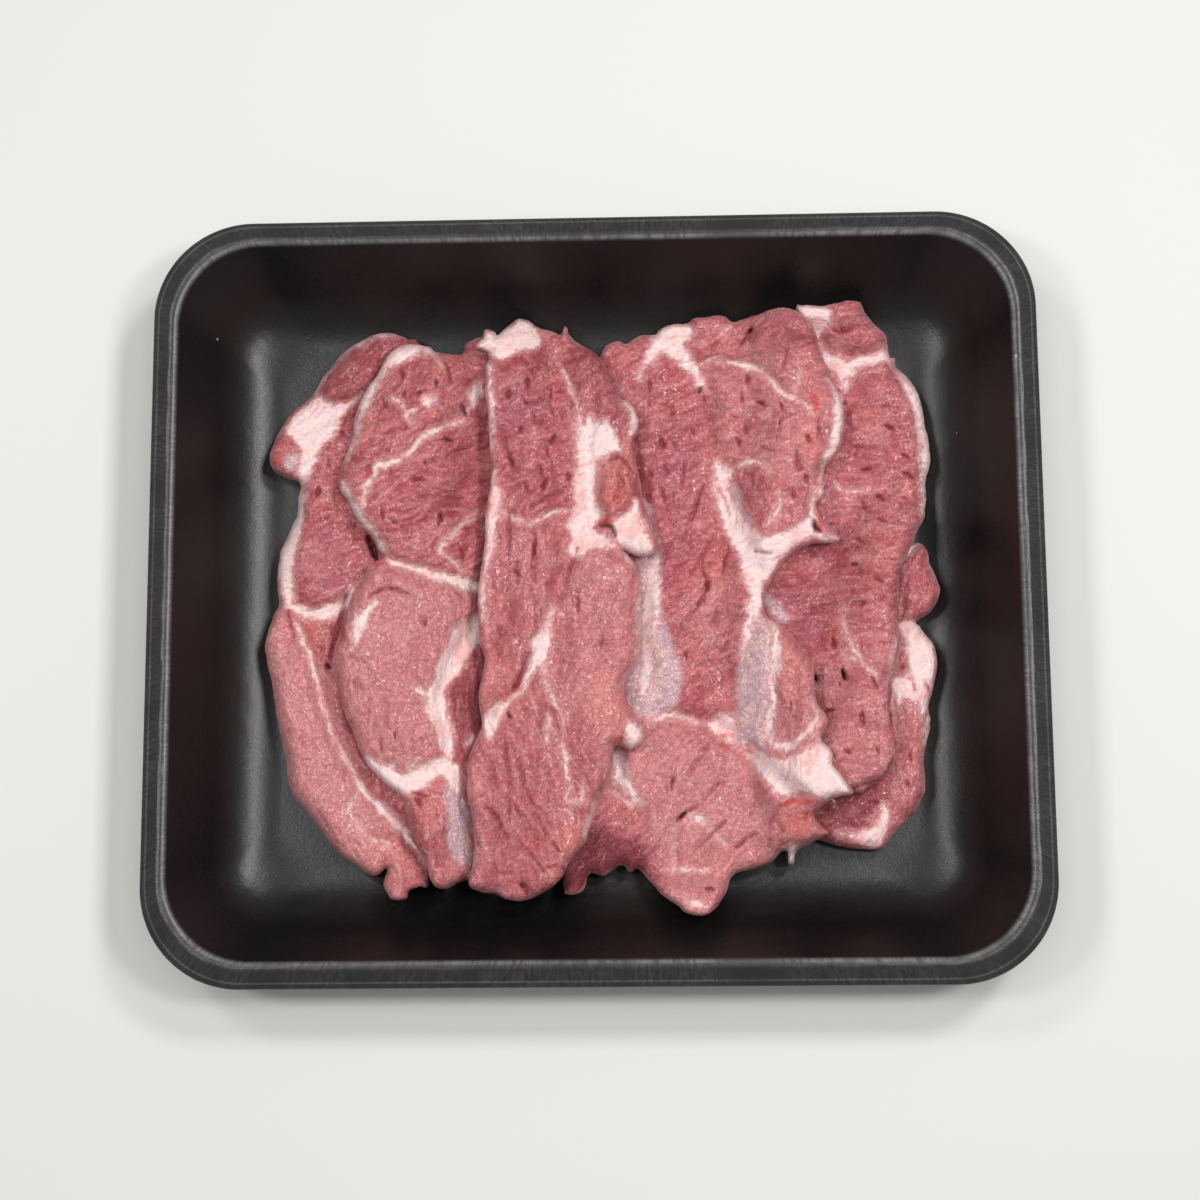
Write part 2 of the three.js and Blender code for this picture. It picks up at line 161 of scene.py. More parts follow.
def layeredNoise(x, y, size, seed):
    # Octaves of value noise, each half the size and half the height of the last, brought to -1 to 1.
    shares = [0.5 ** k for k in range(octaves)]
    layers = [softNoise(x, y, size * share, seed + k) * share for k, share in enumerate(shares)]
    return sum(layers) / sum(shares)


# Tray

tray = {
    "width": 268.5, "depth": 232.5, "height": 32,
    "cornerRadius": 30, "cornerTightening": 0.6,
    "floor": 3.5, "wall": 3.2,
    "flange": 7, "flangeFall": 3, "lip": 3, "wallRun": 18,
    "floorFillet": 22, "baseFillet": 7, "crestRadius": 2.6, "crestPeak": 0.55,
    "lipRounding": 0.9, "undersideRise": 1.4, "undersideRounding": 2, "flatRun": 40,
    "ringPoints": 560, "arcSteps": 14, "coarseSteps": 4, "topGap": 1.6, "underGap": 2.2,
    "sideShare": 0.36,  # of a quarter's points, on each of its two straight sides
    "flatInsets": (60, 25),  # rings on the flat floor, mm in from the foot of the wall
    "rolls": ((0.12, 7, 5), (0.06, 2.5, 6)),  # the skin's rise, the size of its swells, their seed
    "rollFrom": 4, "rollFull": 8, "crestClear": 0.3,
    "dents": [(-132.5, 18, 2.2, 0.5), (-131.5, -22, 2.6, 0.6), (-76, 113, 3.5, 0.35)],
}
wallSlope = (tray["height"] - tray["floor"]) / tray["wallRun"]
insideFoot = tray["flange"] + tray["wallRun"]


def roundedCorner(a, b, c, radius, steps):
    # Points of the arc that rounds corner b between a and c: its centre lies on the bisector,
    # radius / sin(half angle) from b.
    a, b, c = (np.array(p, float) for p in (a, b, c))
    toA, toC = (a - b) / np.hypot(*(a - b)), (c - b) / np.hypot(*(c - b))
    half = np.arccos(np.clip(toA @ toC, -1, 1)) / 2
    middle = (toA + toC) / np.hypot(*(toA + toC))
    centre = b + middle * radius / np.sin(half)
    start = np.arctan2(*(b + toA * radius / np.tan(half) - centre)[::-1])
    end = np.arctan2(*(b + toC * radius / np.tan(half) - centre)[::-1])
    sweep = (end - start + np.pi) % (2 * np.pi) - np.pi
    angle = start + sweep * np.linspace(0, 1, steps + 1)
    return np.column_stack([centre[0] + radius * np.cos(angle), centre[1] + radius * np.sin(angle)])


def trayProfiles(steps):
    # The tray's section as rows of (inset from the lip, height): floor to lip, then lip to base.
    # Each row of corners is straight between its corners, and each corner is rounded by an arc.
    height, floor, flange = tray["height"], tray["floor"], tray["flange"]
    wallShift = tray["wall"] * np.hypot(1, 1 / wallSlope)
    under = height - tray["flangeFall"] - tray["lip"]

    def outsideAt(level):
        # Inset of the wall's outer face at a height: the inner face's less the wall's level width.
        return flange + (height - level) / wallSlope - wallShift
    flatFloor, foot = (insideFoot + tray["flatRun"], floor), (insideFoot, floor)
    wallTop, crest = (flange, height), (flange, height + tray["crestPeak"])
    lipTop, lipBottom = (0, height - tray["flangeFall"]), (0, under)
    wallMeet = (outsideAt(under + tray["undersideRise"]), under + tray["undersideRise"])
    baseCorner, flatBase = (outsideAt(0), 0), (outsideAt(0) + tray["flatRun"], 0)
    inside = np.vstack([
        roundedCorner(flatFloor, foot, wallTop, tray["floorFillet"], steps),
        roundedCorner(foot, crest, lipTop, tray["crestRadius"], steps),
    ])
    outside = np.vstack([
        roundedCorner(crest, lipTop, lipBottom, tray["lipRounding"], steps // 3),
        roundedCorner(lipTop, lipBottom, wallMeet, tray["lipRounding"], steps // 3),
        roundedCorner(lipBottom, wallMeet, baseCorner, tray["undersideRounding"], steps // 3),
        roundedCorner(wallMeet, baseCorner, flatBase, tray["baseFillet"], steps // 2),
    ])
    return inside, outside


def insideHeight(inset):
    # Height of the tray's inside above a point that far in from its lip, read off the section.
    inside, _ = trayProfiles(tray["coarseSteps"])
    return np.interp(inset, inside[::-1, 0], inside[::-1, 1])


def subdivide(profile, gap):
    # Adds points so that no two neighbours of a section are further apart than gap.
    rows = [profile[:1]]
    for a, b in zip(profile[:-1], profile[1:]):
        count = max(1, int(np.ceil(np.hypot(*(b - a)) / gap)))
        rows.append(a + (b - a) * (np.arange(1, count + 1) / count)[:, None])
    return np.vstack(rows)


def roundedRing(inset, share):
    # Points round a rounded rectangle, at shares of the way round its quarters and sides.
    # Its corner radius is the rim's less the tightening's share of the inset.
    radius = tray["cornerRadius"] - tray["cornerTightening"] * np.minimum(inset, insideFoot)
    halfX, halfY = tray["width"] / 2 - inset - radius, tray["depth"] / 2 - inset - radius
    quarter, place = np.divmod(share * 4, 1)
    sideShare = tray["sideShare"]
    turn = np.clip((place - sideShare) / (1 - 2 * sideShare), 0, 1) * np.pi / 2
    onFirst = np.clip(place / sideShare, 0, 1)
    onSecond = np.clip((place - 1 + sideShare) / sideShare, 0, 1)
    x = np.where(place > 1 - sideShare, halfX * (1 - onSecond), halfX) + radius * np.cos(turn)
    y = np.where(place < sideShare, halfY * onFirst, halfY) + radius * np.sin(turn)
    signX, signY = np.where((quarter == 0) | (quarter == 3), 1, -1), np.where(quarter < 2, 1, -1)
    swap = quarter % 2 == 1
    # odd quarters run the other way round, so that the ring stays in one turn
    x2 = np.where(place < sideShare, halfX * onFirst, halfX) + radius * np.sin(turn)
    y2 = np.where(place > 1 - sideShare, halfY * (1 - onSecond), halfY) + radius * np.cos(turn)
    return np.where(swap, x2, x) * signX, np.where(swap, y2, y) * signY


def makeMesh(name, points, quads, triangles=None, fields=None, smoothCount=None):
    # A mesh object from arrays of points in mm, quads and triangles, with a number per point in each field.
    # Faces from smoothCount on are flat, so that the edge between them and the others is crisp.
    mesh = bpy.data.meshes.new(name)
    triangles = np.zeros((0, 3), int) if triangles is None else triangles
    loops = np.concatenate([quads.ravel(), triangles.ravel()]).astype(np.int32)
    sizes = np.concatenate([np.full(len(quads), 4), np.full(len(triangles), 3)])
    starts = np.concatenate([[0], np.cumsum(sizes)[:-1]]).astype(np.int32)
    mesh.vertices.add(len(points))
    mesh.vertices.foreach_set("co", (points * metre).astype(np.float32).ravel())
    mesh.loops.add(len(loops))
    mesh.loops.foreach_set("vertex_index", loops)
    mesh.polygons.add(len(sizes))
    mesh.polygons.foreach_set("loop_start", starts)
    smooth = np.ones(len(sizes), bool)
    if smoothCount is not None:
        smooth[smoothCount:] = False
    mesh.polygons.foreach_set("use_smooth", smooth)
    mesh.update(calc_edges=True)
    mesh.validate()
    for key, values in (fields or {}).items():
        attribute = mesh.attributes.new(key, "FLOAT", "POINT")
        attribute.data.foreach_set("value", values.astype(np.float32))
    thing = bpy.data.objects.new(name, mesh)
    bpy.context.scene.collection.objects.link(thing)
    return thing


def makeTray():
    # Rings of the rounded rectangle swept along the section, closed in the middle of floor and base.
    # Shallow dents are round dimples, depth * exp(-(r / radius)^2), and the foam's skin rolls by a fifth of
    # a mm. The inset field grows from the lip inwards and is below zero outside. The run field is the way
    # round the rim in mm, there and back, so that it has no jump.
    inside, outside = trayProfiles(tray["arcSteps"])
    flatFloor = [(insideFoot + inset, tray["floor"]) for inset in tray["flatInsets"]]
    inside = np.vstack([flatFloor, inside])
    topRows, underRows = subdivide(inside, tray["topGap"]), subdivide(outside, tray["underGap"])
    profile = np.vstack([topRows, underRows])
    insets = np.concatenate([topRows[:, 0], -1 - underRows[:, 0]])
    count, rings = tray["ringPoints"], len(profile)
    share = (np.arange(count) + 0.5) / count
    run = (0.5 - np.abs(share - 0.5)) * 2 * (tray["width"] + tray["depth"])
    x, y = roundedRing(profile[:, :1], share[None, :])
    z = np.repeat(profile[:, 1:], count, axis=1)
    onTop = (z > tray["rollFrom"]) & (np.arange(rings)[:, None] < len(topRows))
    roll = sum(rise * softNoise(x + z, y - z, size, seed) for rise, size, seed in tray["rolls"])
    for dx, dy, radius, depth in tray["dents"]:
        roll = roll - depth * np.exp(-((x - dx) ** 2 + (y - dy) ** 2) / radius ** 2)
    belowCrest = onTop & (z < tray["height"] - tray["crestClear"])
    rolled = roll * smoothStep(tray["rollFrom"], tray["rollFull"], z)
    z = z + np.where(belowCrest, rolled, np.minimum(roll, 0) * onTop)
    points = np.column_stack([x.ravel(), y.ravel(), z.ravel()])
    r, i = np.meshgrid(np.arange(rings - 1), np.arange(count), indexing="ij")
    j = (i + 1) % count
    corners = [r * count + i, (r + 1) * count + i, (r + 1) * count + j, r * count + j]
    quads = np.stack(corners, axis=-1).reshape(-1, 4)
    points = np.vstack([points, [[0, 0, tray["floor"]], [0, 0, 0]]])
    i = np.arange(count)
    j = (i + 1) % count
    last = (rings - 1) * count
    floorFan = np.column_stack([np.full(count, len(points) - 2), i, j])
    baseFan = np.column_stack([np.full(count, len(points) - 1), last + j, last + i])
    fields = {"inset": np.append(np.repeat(insets, count), [insets[0], insets[-1]]),
              "run": np.append(np.tile(run, rings), [0, 0])}
    return makeMesh("trayFoam", points, quads, np.vstack([floorFan, baseFan]), fields)


# Meat

meat = {
    "gap": 0.8, "edgeRounding": 4.2, "edgeShare": 0.42,
    "stiffness": 3.5, "steepestFall": 0.8, "drapeReach": 9,  # the reach is in cells of the net
    "net": 1.5, "lowX": -111, "lowY": -102, "columns": 149, "rows": 134, "netRounds": 6, "blurRounds": 2,
    "drawnHeight": 24, "lookedAtFrom": (24, -111, 690),
    "firstSeed": 100, "seedStep": 20,
    "cell": 0.55, "within": 0.45, "raggedness": 0.5, "raggedSize": 5,
    # a muscle's swell is full within the first share of its size and gone at the second, hues likewise
    "swell": (0.6, 1.25), "hue": (0.35, 1.2), "muscleRise": 0.5, "muscleEase": 2.2,
    "fatShare": 1.15, "redShare": 0.8, "shakeSize": 3.5, "fatShake": 1.1, "otherShake": 0.6,
    "creaseDepth": 1.1, "creaseHalf": 0.9, "creaseShare": 0.6, "holeDepth": 3, "holeEase": (-0.5, 0.7),
    # fibres: sway in degrees, and the size, reach and rise of strands and of bundles
    "blend": 5, "fibreSway": 48, "swaySize": 5,
    "strandSize": 0.85, "strandReach": 2, "strandRise": 0.06,
    "bundleSize": 1.9, "bundleReach": 4.5, "bundleRise": 0.15,
    "lumpSize": 8, "lumpRise": 0.5, "fatRelief": 0.4, "reliefRun": 3,
    "rimSink": 0.45, "rimRound": 1.1, "rimFall": 0.25, "knee": 30, "ceiling": 31.8,
}

# Slits: half sizes and depth in mm, turns in degrees, and the range of each random draw.
slit = {
    "long": 1.9, "wide": 0.5, "depth": 1.9, "pitTurn": 98, "gashTurn": -8,
    "columnStep": 8.6, "rowStep": 9.4, "stray": 2.5,
    "listedStrength": (0.7, 1), "otherStrength": (0, 0.5),
    "turnSpread": 26, "longSpread": (0.7, 1.5), "wideSpread": (0.75, 1.5),
    "shake": 0.5, "shakeSize": 1.8, "reach": 5, "clearOfFat": (0.2, 1.5),
}

# What each point of a slice's mesh carries: two noises along the fibres, distances in mm to fat, silver
# skin, creases and deep gaps (both darkened with painted shade), the slits' mark (darkened with painted
# shade), the distance to wet red, lightness (where low, partly painted shade), warmth and way to the edge.
meatFields = ("strand", "bundle", "fat", "silver", "crease", "hole", "pit", "red", "tone", "warm", "edge")

# Each slice: edge is its outline. muscles are (x, y, half length, half width, turn, rise, fibre turn, tone);
# a low tone is partly the muscle's own and partly painted shade on pieces that lie in shadow.
# sinks are the lines that lie low between muscles: (width, depth, points). fat, silver (thin lilac skin),
# creases (darkened with painted shade), the deep gaps (painted near black as shadow) and red (wet red
# edges) are strokes (width, points). fatPatches and silverPatches are outlines. pits are upright slits at
# x, y, and gashes are level ones; both are darkened with painted shade. hues are (x, y, half length, half
# width, turn, warmth), salmon above zero and mauve below it; a few mauve hues are painted shade.
# The list's order is the order of laying.
slices = {
    "slice_right_low": {
        "thickness": 9,
        "edge": [
            95, 14.5, 98, 14, 100, 12, 100.5, 8, 102, 4, 103, 0, 102, -4, 99, -7.5, 96, -9.5, 97, -11,
            99, -14, 101, -17, 101.5, -22, 101, -26, 100, -31, 98.5, -35, 99, -39, 98, -45, 97, -50,
            97, -58, 96, -62, 93, -67, 88, -72, 85, -76, 83, -77, 77, -77, 72, -76, 66, -74, 58, -70,
            62, -58, 76, -40, 80, -12, 84, 8, 89, 17,
        ],
        "muscles": [
            (97, 3, 11, 6, 90, 1.5, 70, 0), (93, -54, 16, 5, 80, 1.2, 85, 0.2),
            (88, -70, 8, 6, 20, 0, 30, 0.2), (70, -67, 10, 6, 20, 0, 30, -0.5),
        ],
        "sinks": [(4, 1.5, [89, -9, 100, -12])],
        "fat": [
            (3, [92, 10.5, 96, 13.5]), (1.6, [99, -37, 98.5, -41, 97.5, -46]), (1, [101, 10, 102, 4]),
        ],
        "fatPatches": [
            [91, -10, 96, -10, 100, -15, 101, -22, 100, -30, 97, -38, 95, -34, 92, -33, 90, -36, 88, -28,
             92, -25, 93, -20],
            [71, -73, 75, -73, 80, -76.5, 84, -76, 85.5, -71, 86, -66, 84.5, -63, 82, -70, 77, -71.5],
        ],
        "creases": [(0.7, [93, -23, 94, -27, 95, -30]), (0.6, [98, -27, 99, -31])],
        "pits": [93, -50, 92, -58],
        "gashes": [84, -63, 92.5, -23, 96, -29],
        "red": [(1.2, [92, -26, 94, -27])],
        "hues": [(75, -66, 8, 5, 0, -0.6), (93, 2, 8, 5, 90, -0.3)],
    },
    "slice_right": {
        "thickness": 9,
        "edge": [
            62, 87, 64, 88.5, 70, 88.5, 74, 89, 81, 89.5, 83, 86, 86, 82, 89, 79, 90, 75, 90.5, 72,
            92, 72, 92, 69, 94, 67, 97, 63, 99, 58, 100, 52, 101, 45, 101.5, 39, 100, 33, 100, 28, 99, 22,
            97, 18, 95.5, 14, 94, 11, 91.5, 6, 91, 0, 90.5, -6, 90, -9, 91, -15, 90, -22, 88, -27,
            89, -33, 89.5, -38, 90, -44, 89, -50, 87, -54, 84, -57, 80, -59, 77, -60.5, 64, -56, 56, -40,
            50, -20, 48, 2, 53, 28, 58, 52, 60, 70,
        ],
        "muscles": [
            (88, 34, 34, 11, 92, 2, 12, 0.05), (77, -34, 22, 11, 95, 1.5, 5, 0.2),
            (81, 81, 9, 6, 0, 2, 20, 0.1), (68, 0, 16, 12, 90, 0, 10, -0.2),
        ],
        "sinks": [(4, 1.8, [70, 76, 80, 71, 90, 73]), (4, 1, [76, -8, 84, -18, 90, -22])],
        "fat": [
            (3, [92, 69, 96.5, 61.5, 99, 53, 100.3, 44, 100.5, 37, 99.5, 30, 98.5, 24]),
            (0.7, [73, 33, 76, 30.5, 83, 31]), (0.7, [74, -8, 75, -13, 77, -17, 80, -22, 83, -25]),
            (0.7, [74, -19, 78, -21]), (1, [90, -15, 88, -27, 89, -38]), (1.2, [84, 71, 78, 66, 75, 58]),
        ],
        "fatPatches": [
            [63, 88, 70, 88, 73, 86, 72, 82, 70, 80, 70, 75, 74, 72, 80, 72, 86, 74, 90, 75, 91, 71,
             88, 70, 82, 69, 78, 66, 76, 63, 74, 66, 70, 70, 68, 76, 66, 82],
        ],
        "silver": [(2.4, [91, 70, 95, 62, 97.5, 54, 98.5, 45, 98.8, 37]), (4, [51, -1, 54, -6, 58, -8])],
        "creases": [
            (0.8, [74, 80, 79, 80]), (0.5, [89, 69, 94, 62, 96.5, 54, 97.5, 45]),
            (0.9, [92, -8, 89, -22, 87, -34, 89, -48]), (0.6, [76, -59, 84, -56, 88, -50]),
        ],
        "holes": [(1.1, [73.2, -24, 74, -26.5]), (0.9, [65, -25.5, 66, -27])],
        "pits": [
            79, -17.5, 72.5, -28, 84, -24.5, 83, -27.5, 65.5, -26, 79, -38, 88, -36.5, 83.5, -48, 76, 59,
            81, 26, 71, -15.5, 74, -25, 77, 52,
        ],
        "gashes": [
            82.3, 37, 89.5, 50, 86, 28.5, 86.5, 21.5, 79, 15.5, 69, -4, 80, -4, 69.5, -36, 74.5, -48,
            93.5, 28, 95, 35, 88.5, 56.5, 94, 41, 80, 44, 78, 8, 85, 3,
        ],
        "hues": [
            (54, -3, 7, 6, 0, -1), (64, -12, 6, 5, 0, -0.7), (71, -13, 5, 3.5, 90, 0.8),
            # The mauve hue at 72, 30 is painted shade beside the edge of the slice that lies over this one.
            (84, 63, 9, 6, 0, -0.4), (80, -44, 9, 7, 0, 0.2), (72, 30, 12, 3, 90, -0.9),
        ],
    },
    "slice_left_low": {
        "thickness": 10.5,
        "edge": [
            -57, 80, -62, 82, -67, 81.5, -70, 80, -76, 76.5, -80, 72, -83, 68, -85, 64, -88, 60.5,
            -93, 56.5, -95, 53, -97, 49, -99, 44, -98, 39.5, -94, 37, -89.5, 35, -90, 31, -90, 27,
            -92, 21, -95, 14, -96, 7, -95.5, 2, -95, -2, -97, -6, -98.5, -11, -99, -16, -97.5, -24,
            -96, -31, -95, -38, -93.5, -44, -92, -50, -91.5, -55, -90, -60, -87, -63.5, -84, -67,
            -80, -72, -77.5, -75.5, -72, -79.5, -68, -82.5, -65, -83.5, -62, -81.5, -63, -85.5,
            -61.5, -89, -60, -90.5, -56, -90, -55.5, -88, -52, -86.5, -49, -84.5, -44, -60, -47, -30,
            -46, 0, -47, 30, -48, 58, -53, 78,
        ],
        "muscles": [
            (-82, 16, 23, 10, 95, 1.8, 15, 0), (-88, -40, 34, 8, 112, 1.8, 108, 0.5),
            (-73, 71, 13, 7, 50, 1.8, 50, -0.45), (-66, -34, 30, 8, 110, 0.6, 105, 0),
            (-94, 43, 5, 4, 0, 0.5, 0, -0.2),
        ],
        "sinks": [
            (4, 1.6, [-91, -5, -85, -20, -80, -38, -70, -57, -56, -72, -49, -80]),
            (4, 1.6, [-92, 2, -86, -5, -75, -1]), (5, 1.4, [-94, 50, -84, 55, -74, 61]),
        ],
        "fat": [
            (4.6, [-89, 33, -90.5, 24, -93, 14, -93.3, 6, -91.5, -2]),
            (3.4, [-93, -2, -87, -4.5, -82, -5, -78, -3.5, -74.5, -0.5, -72.5, 3]),
            (1.2, [-84, 60, -85, 65, -80, 73, -74, 77.5, -66, 81, -60, 81]),
            (1.3, [-91, -5, -89, -10, -87, -15, -85, -20, -83, -27, -82, -32, -80, -38, -77, -45,
                   -72, -54]),
            (2.2, [-73, -52, -70, -57, -66, -62, -61, -67, -56, -72, -54, -74, -51, -78, -49, -80]),
            (1.2, [-70, -59, -74, -64, -71, -68, -68, -72, -61, -75]),
        ],
        "fatPatches": [
            [-94, 53, -88, 60, -84, 63, -79, 60, -74, 61, -71, 63, -76, 57, -79, 51, -83, 46, -85, 40,
             -87, 35, -90, 34, -89.5, 42, -91, 48],
        ],
        "silver": [(5, [-93, 40, -91, 44]), (3, [-66, -61, -58, -70])],
        "creases": [
            (2.2, [-75, 0, -77, -8, -79, -18]), (1.6, [-77, -22, -73, -38, -68, -50]),
            (0.8, [-92.5, -4, -90, -12]),
        ],
        "holes": [(1.4, [-80.5, -20, -79.5, -21.5]), (2.2, [-68.3, 18.5, -67, 15, -65.5, 11])],
        "pits": [-77, 51, -80.5, 42, -84, 32.5],
        "hues": [
            (-80, 10, 16, 9, 95, -0.8), (-95, 44, 5, 4, 0, 0.9), (-85, -9, 6, 4, 100, 0.7),
            (-60, -78, 9, 5, -30, 0.5),
        ],
    },
    "slice_centre_right": {
        "thickness": 9,
        "edge": [
            3, 75, 5, 77.5, 8, 78.5, 10, 77.5, 14, 79.5, 19, 80, 20, 81.5, 23, 83, 29, 83.5, 31, 85,
            35, 85.5, 40, 86, 43, 84, 48, 85.5, 52, 86.5, 57, 88, 59, 88, 62, 87, 66, 84, 68, 80,
            68.5, 76, 70, 72, 72, 68, 72, 65, 74, 62, 75.5, 58, 76, 52, 75.5, 47, 74, 43, 72, 39.5,
            70, 38, 69, 35, 69, 32, 70, 30, 68.5, 28, 67, 26, 69, 22, 72, 18, 73, 15.5, 65, 14, 60, 12,
            56, 8, 53, 3, 51, 0, 50.5, -5, 52, -8, 57, -11, 60, -15, 63, -19, 65, -23, 65, -30, 66, -34,
            69, -39, 67, -44, 70, -48, 70, -52, 74, -57, 76, -60.5, 72, -61.5, 68, -63, 64, -67, 66, -70,
            69, -72, 67, -73, 63, -75, 59, -77, 58, -81, 56.2, -81, 56, -77.8, 54, -78, 51, -81,
            45, -82.5, 40, -84.5, 38, -89, 34, -94.5, 30, -96, 26, -95, 24, -93, 21, -91, 18, -88.5,
            15, -85, 12, -82, 10, -83, 8, -81, 5, -82, 2, -84, -2, -83.5, -4, -88, -9, -89.5, -10, -87,
            -12, -74, -12, -40, -9, 0, -6, 40, -2, 62,
        ],
        "muscles": [
            (26, 16, 54, 9, 98, 1.6, 25, -0.02), (31, -8, 20, 8, 98, 0, 30, 0.2),
            (54, 50, 24, 15, 110, 1.8, 8, 0.2), (33, -62, 20, 17, 0, 2, 60, 0.4),
            (59, -28, 17, 5, 95, 2, 85, 0.2), (50, 78, 16, 6, 10, 1, 20, 0.1),
            (48, 31, 8, 6, 80, 0.8, 90, -0.15), (60, -70, 7, 4, 10, 0.6, 10, 0.1),
            # The muscle at 3, -80 is darkened by its low tone: painted shade on a piece that lies under the
            # others.
            (3, -80, 11, 7, 20, 0, 50, -0.9), (8, -66, 7, 4, 110, 0.4, 40, 0.15),
        ],
        "sinks": [
            (5, 2, [33, 70, 36, 55, 38, 38, 43, 22, 50, 5, 47, -12]),
            (4, 1.4, [36, 71, 50, 69, 58, 61, 66, 55]),
            (5, 2, [5, -30, 20, -37, 35, -39, 47, -50, 60, -62]), (4.5, 1.4, [16, 14, 14, -12, 18, -30]),
            (4.5, 1.6, [8, -45, 6, -58, 13, -68]),
        ],
        "fat": [
            (1.2, [20, 80, 17, 73, 14, 66]),
            (1.6, [33, 70, 36, 72, 40, 71.5, 45, 70.5, 50, 69, 54, 66, 57, 62, 60, 60, 64, 58, 66, 55]),
            (0.9, [38, 79, 42, 82]), (0.9, [61, 62, 64, 68]),
            (2.6, [72, 65, 74.5, 60, 74.5, 52, 73, 46, 70.5, 41, 69, 38]),
            (3, [26, 80, 28, 73, 31, 68, 33, 63.5]), (1, [43, 38.5, 49, 40, 53.5, 36.5]),
            (0.8, [56, 31, 55.5, 25, 52, 20.5]), (3.4, [65, 20, 67, 26, 67.5, 31, 69, 37]),
            (2.4, [66, 17, 70, 15.5, 73, 15]), (2.6, [44, 12, 41, 20, 38, 28, 36.5, 36]),
            (3, [53, 14, 50, 6, 48, -3]), (3.4, [66, -44, 71, -52, 74, -58]),
            (2.6, [46, -46, 50, -50, 57, -55, 66, -59]),
            (2.2, [48, -9, 53, -9, 54, -15, 54, -22, 52, -28, 53, -33, 51, -40, 53, -46, 58, -46, 63, -42,
                   66, -38, 65, -33]),
            (4.4, [18.5, 16, 18, 4, 16.5, -8, 16, -20, 14, -30]),
            (1.3, [12, -37, 18, -38, 22, -37, 30, -39, 35, -39]), (0.7, [34, -70, 38, -75]),
            (0.7, [23, -70, 22, -82]), (0.8, [20, -82, 33, -83]), (2, [29, -67, 31, -67]),
            (2.4, [4, -47, 6, -52, 9, -58, 13, -63]), (2, [27, -92, 32, -93.5]),
            (1.2, [1, -59, 5, -60, 10, -63]), (2.4, [47, -2, 46, -10, 44, -20]),
        ],
        "fatPatches": [
            [15, 70, 17, 76, 20, 81, 24, 83, 30, 83, 29, 78, 28, 74, 30, 70, 33, 66, 33, 63, 29, 68,
             25, 72, 21, 75, 18, 71],
            [37, 41, 39.5, 38.5, 42, 37.5, 41.5, 33, 43, 27, 46, 22, 49, 18.5, 54, 17.5, 60, 19, 65, 23,
             66.5, 19, 65, 15.5, 61, 14, 57, 10.5, 54, 7, 51, 2, 50, -4, 49, -9, 47, -9, 46.5, -2, 45, 4,
             43.5, 10, 41.5, 18, 39.5, 27, 38, 33, 36.5, 37],
            [55.5, -76, 59, -76, 58, -81.5, 56, -81.5],
            [33, -39, 40, -37, 42, -40, 40, -46, 37, -43],
            [45, -48, 55, -50, 62, -47, 68, -45, 70, -50, 74, -57, 75, -61, 68, -62, 60, -60, 55, -61,
             52, -58, 47, -53],
        ],
        "silver": [
            (4, [41, 36, 43, 27, 47, 21]), (6, [6, -48, 8, -58]), (2.4, [26, -66, 33, -69]),
            (3, [14, 30, 17, 22]),
        ],
        "silverPatches": [
            [46, -9, 42, -25, 42, -35, 41, -45, 50, -47, 52, -40, 52.5, -30, 53, -20, 53, -10],
            [14, 28, 17, 22, 19.5, 15, 20, 5, 20.5, -5, 24, -18, 26, -24, 23, -36, 13, -37, 9, -30,
             10, -24, 14, -17, 14, -8, 13.5, 0, 13, 10],
        ],
        "creases": [
            (2, [34, 60, 35.5, 52, 37, 43]), (1, [38, 77, 36, 75]), (1, [59, 74, 57.3, 69]),
            (0.9, [48, 82, 45, 76]), (1, [61, 43, 61.8, 37]), (1.2, [24.3, 58, 24, 55]),
            (1, [24, 30, 22, 25]), (1, [33, 33, 31, 26, 28, 20, 26.5, 16]), (0.7, [28, 40, 26.5, 32]),
            (1.1, [36, 18, 33, 12, 32, 8.5, 34, 3, 33, 0, 30, -5, 25, -11]), (0.8, [40.5, 14, 38, 6]),
            (1.1, [36.7, -6, 35, -10]), (1, [39.5, -15, 37.5, -18]), (2.6, [17, 38, 16, 33, 16.8, 28]),
            (1, [33, -46, 29, -52, 27.5, -55]), (1, [36.5, -57, 33, -60, 30.5, -63.5]),
            (1.2, [30, -63.5, 26, -66, 23.5, -68]), (0.9, [47, -72, 44, -74, 41, -76]),
            (0.7, [38, -68, 30, -76]), (0.6, [48, 12.5, 53, 11.5]), (2.4, [11.5, 50, 13.5, 40, 14.5, 30]),
            (0.8, [68, 53, 68.6, 47]), (1.2, [51, -70, 53.5, -65, 58, -62.3]),
        ],
        "holes": [
            (1.2, [66, 22, 66.5, 19.5, 68, 18]), (0.7, [26, -66, 24.5, -67.3]),
            (0.9, [48.4, 81.5, 47.6, 80.5]), (0.8, [32.8, 63, 32.3, 61.5]),
        ],
        "red": [
            (1.4, [67.5, 27, 67, 24, 68.3, 21, 68.6, 18.5]), (1.2, [67.5, 58.5, 66.8, 55]),
            (2.2, [67, 60, 67.2, 58]), (0.9, [68, 37, 66.8, 33, 67.2, 29]), (0.9, [37.5, -43, 40, -43]),
            (1, [37, -45, 39.5, -47]), (1.5, [54, -64.5, 58, -62.8, 65, -63]),
        ],
        "pits": [
            58, -34, 22.5, -57, 21, 46, 45, 60, 56.5, 52, 46, 50, 65, 47, 60, 30, 64, 35, 44, 46, 47, 66,
            20.5, 46.5, 28, 69, 17, 64, 27, -19, 30, 50, 21, 30, 57, 57, 33.7, 2, 58, -34.5, 22, 38,
        ],
        "gashes": [51, 58, 43, 54, 52, 44, 33, -88, 62, -50],
        "hues": [
            (56, -20, 15, 6, 95, 0.8), (60, -69, 9, 6, 0, 0.8), (33, -77, 14, 5, 0, 0.5),
            (22, 42, 18, 9, 90, -0.7), (46, 58, 12, 8, 30, -0.4), (48.5, 33, 5, 3.5, 90, -1),
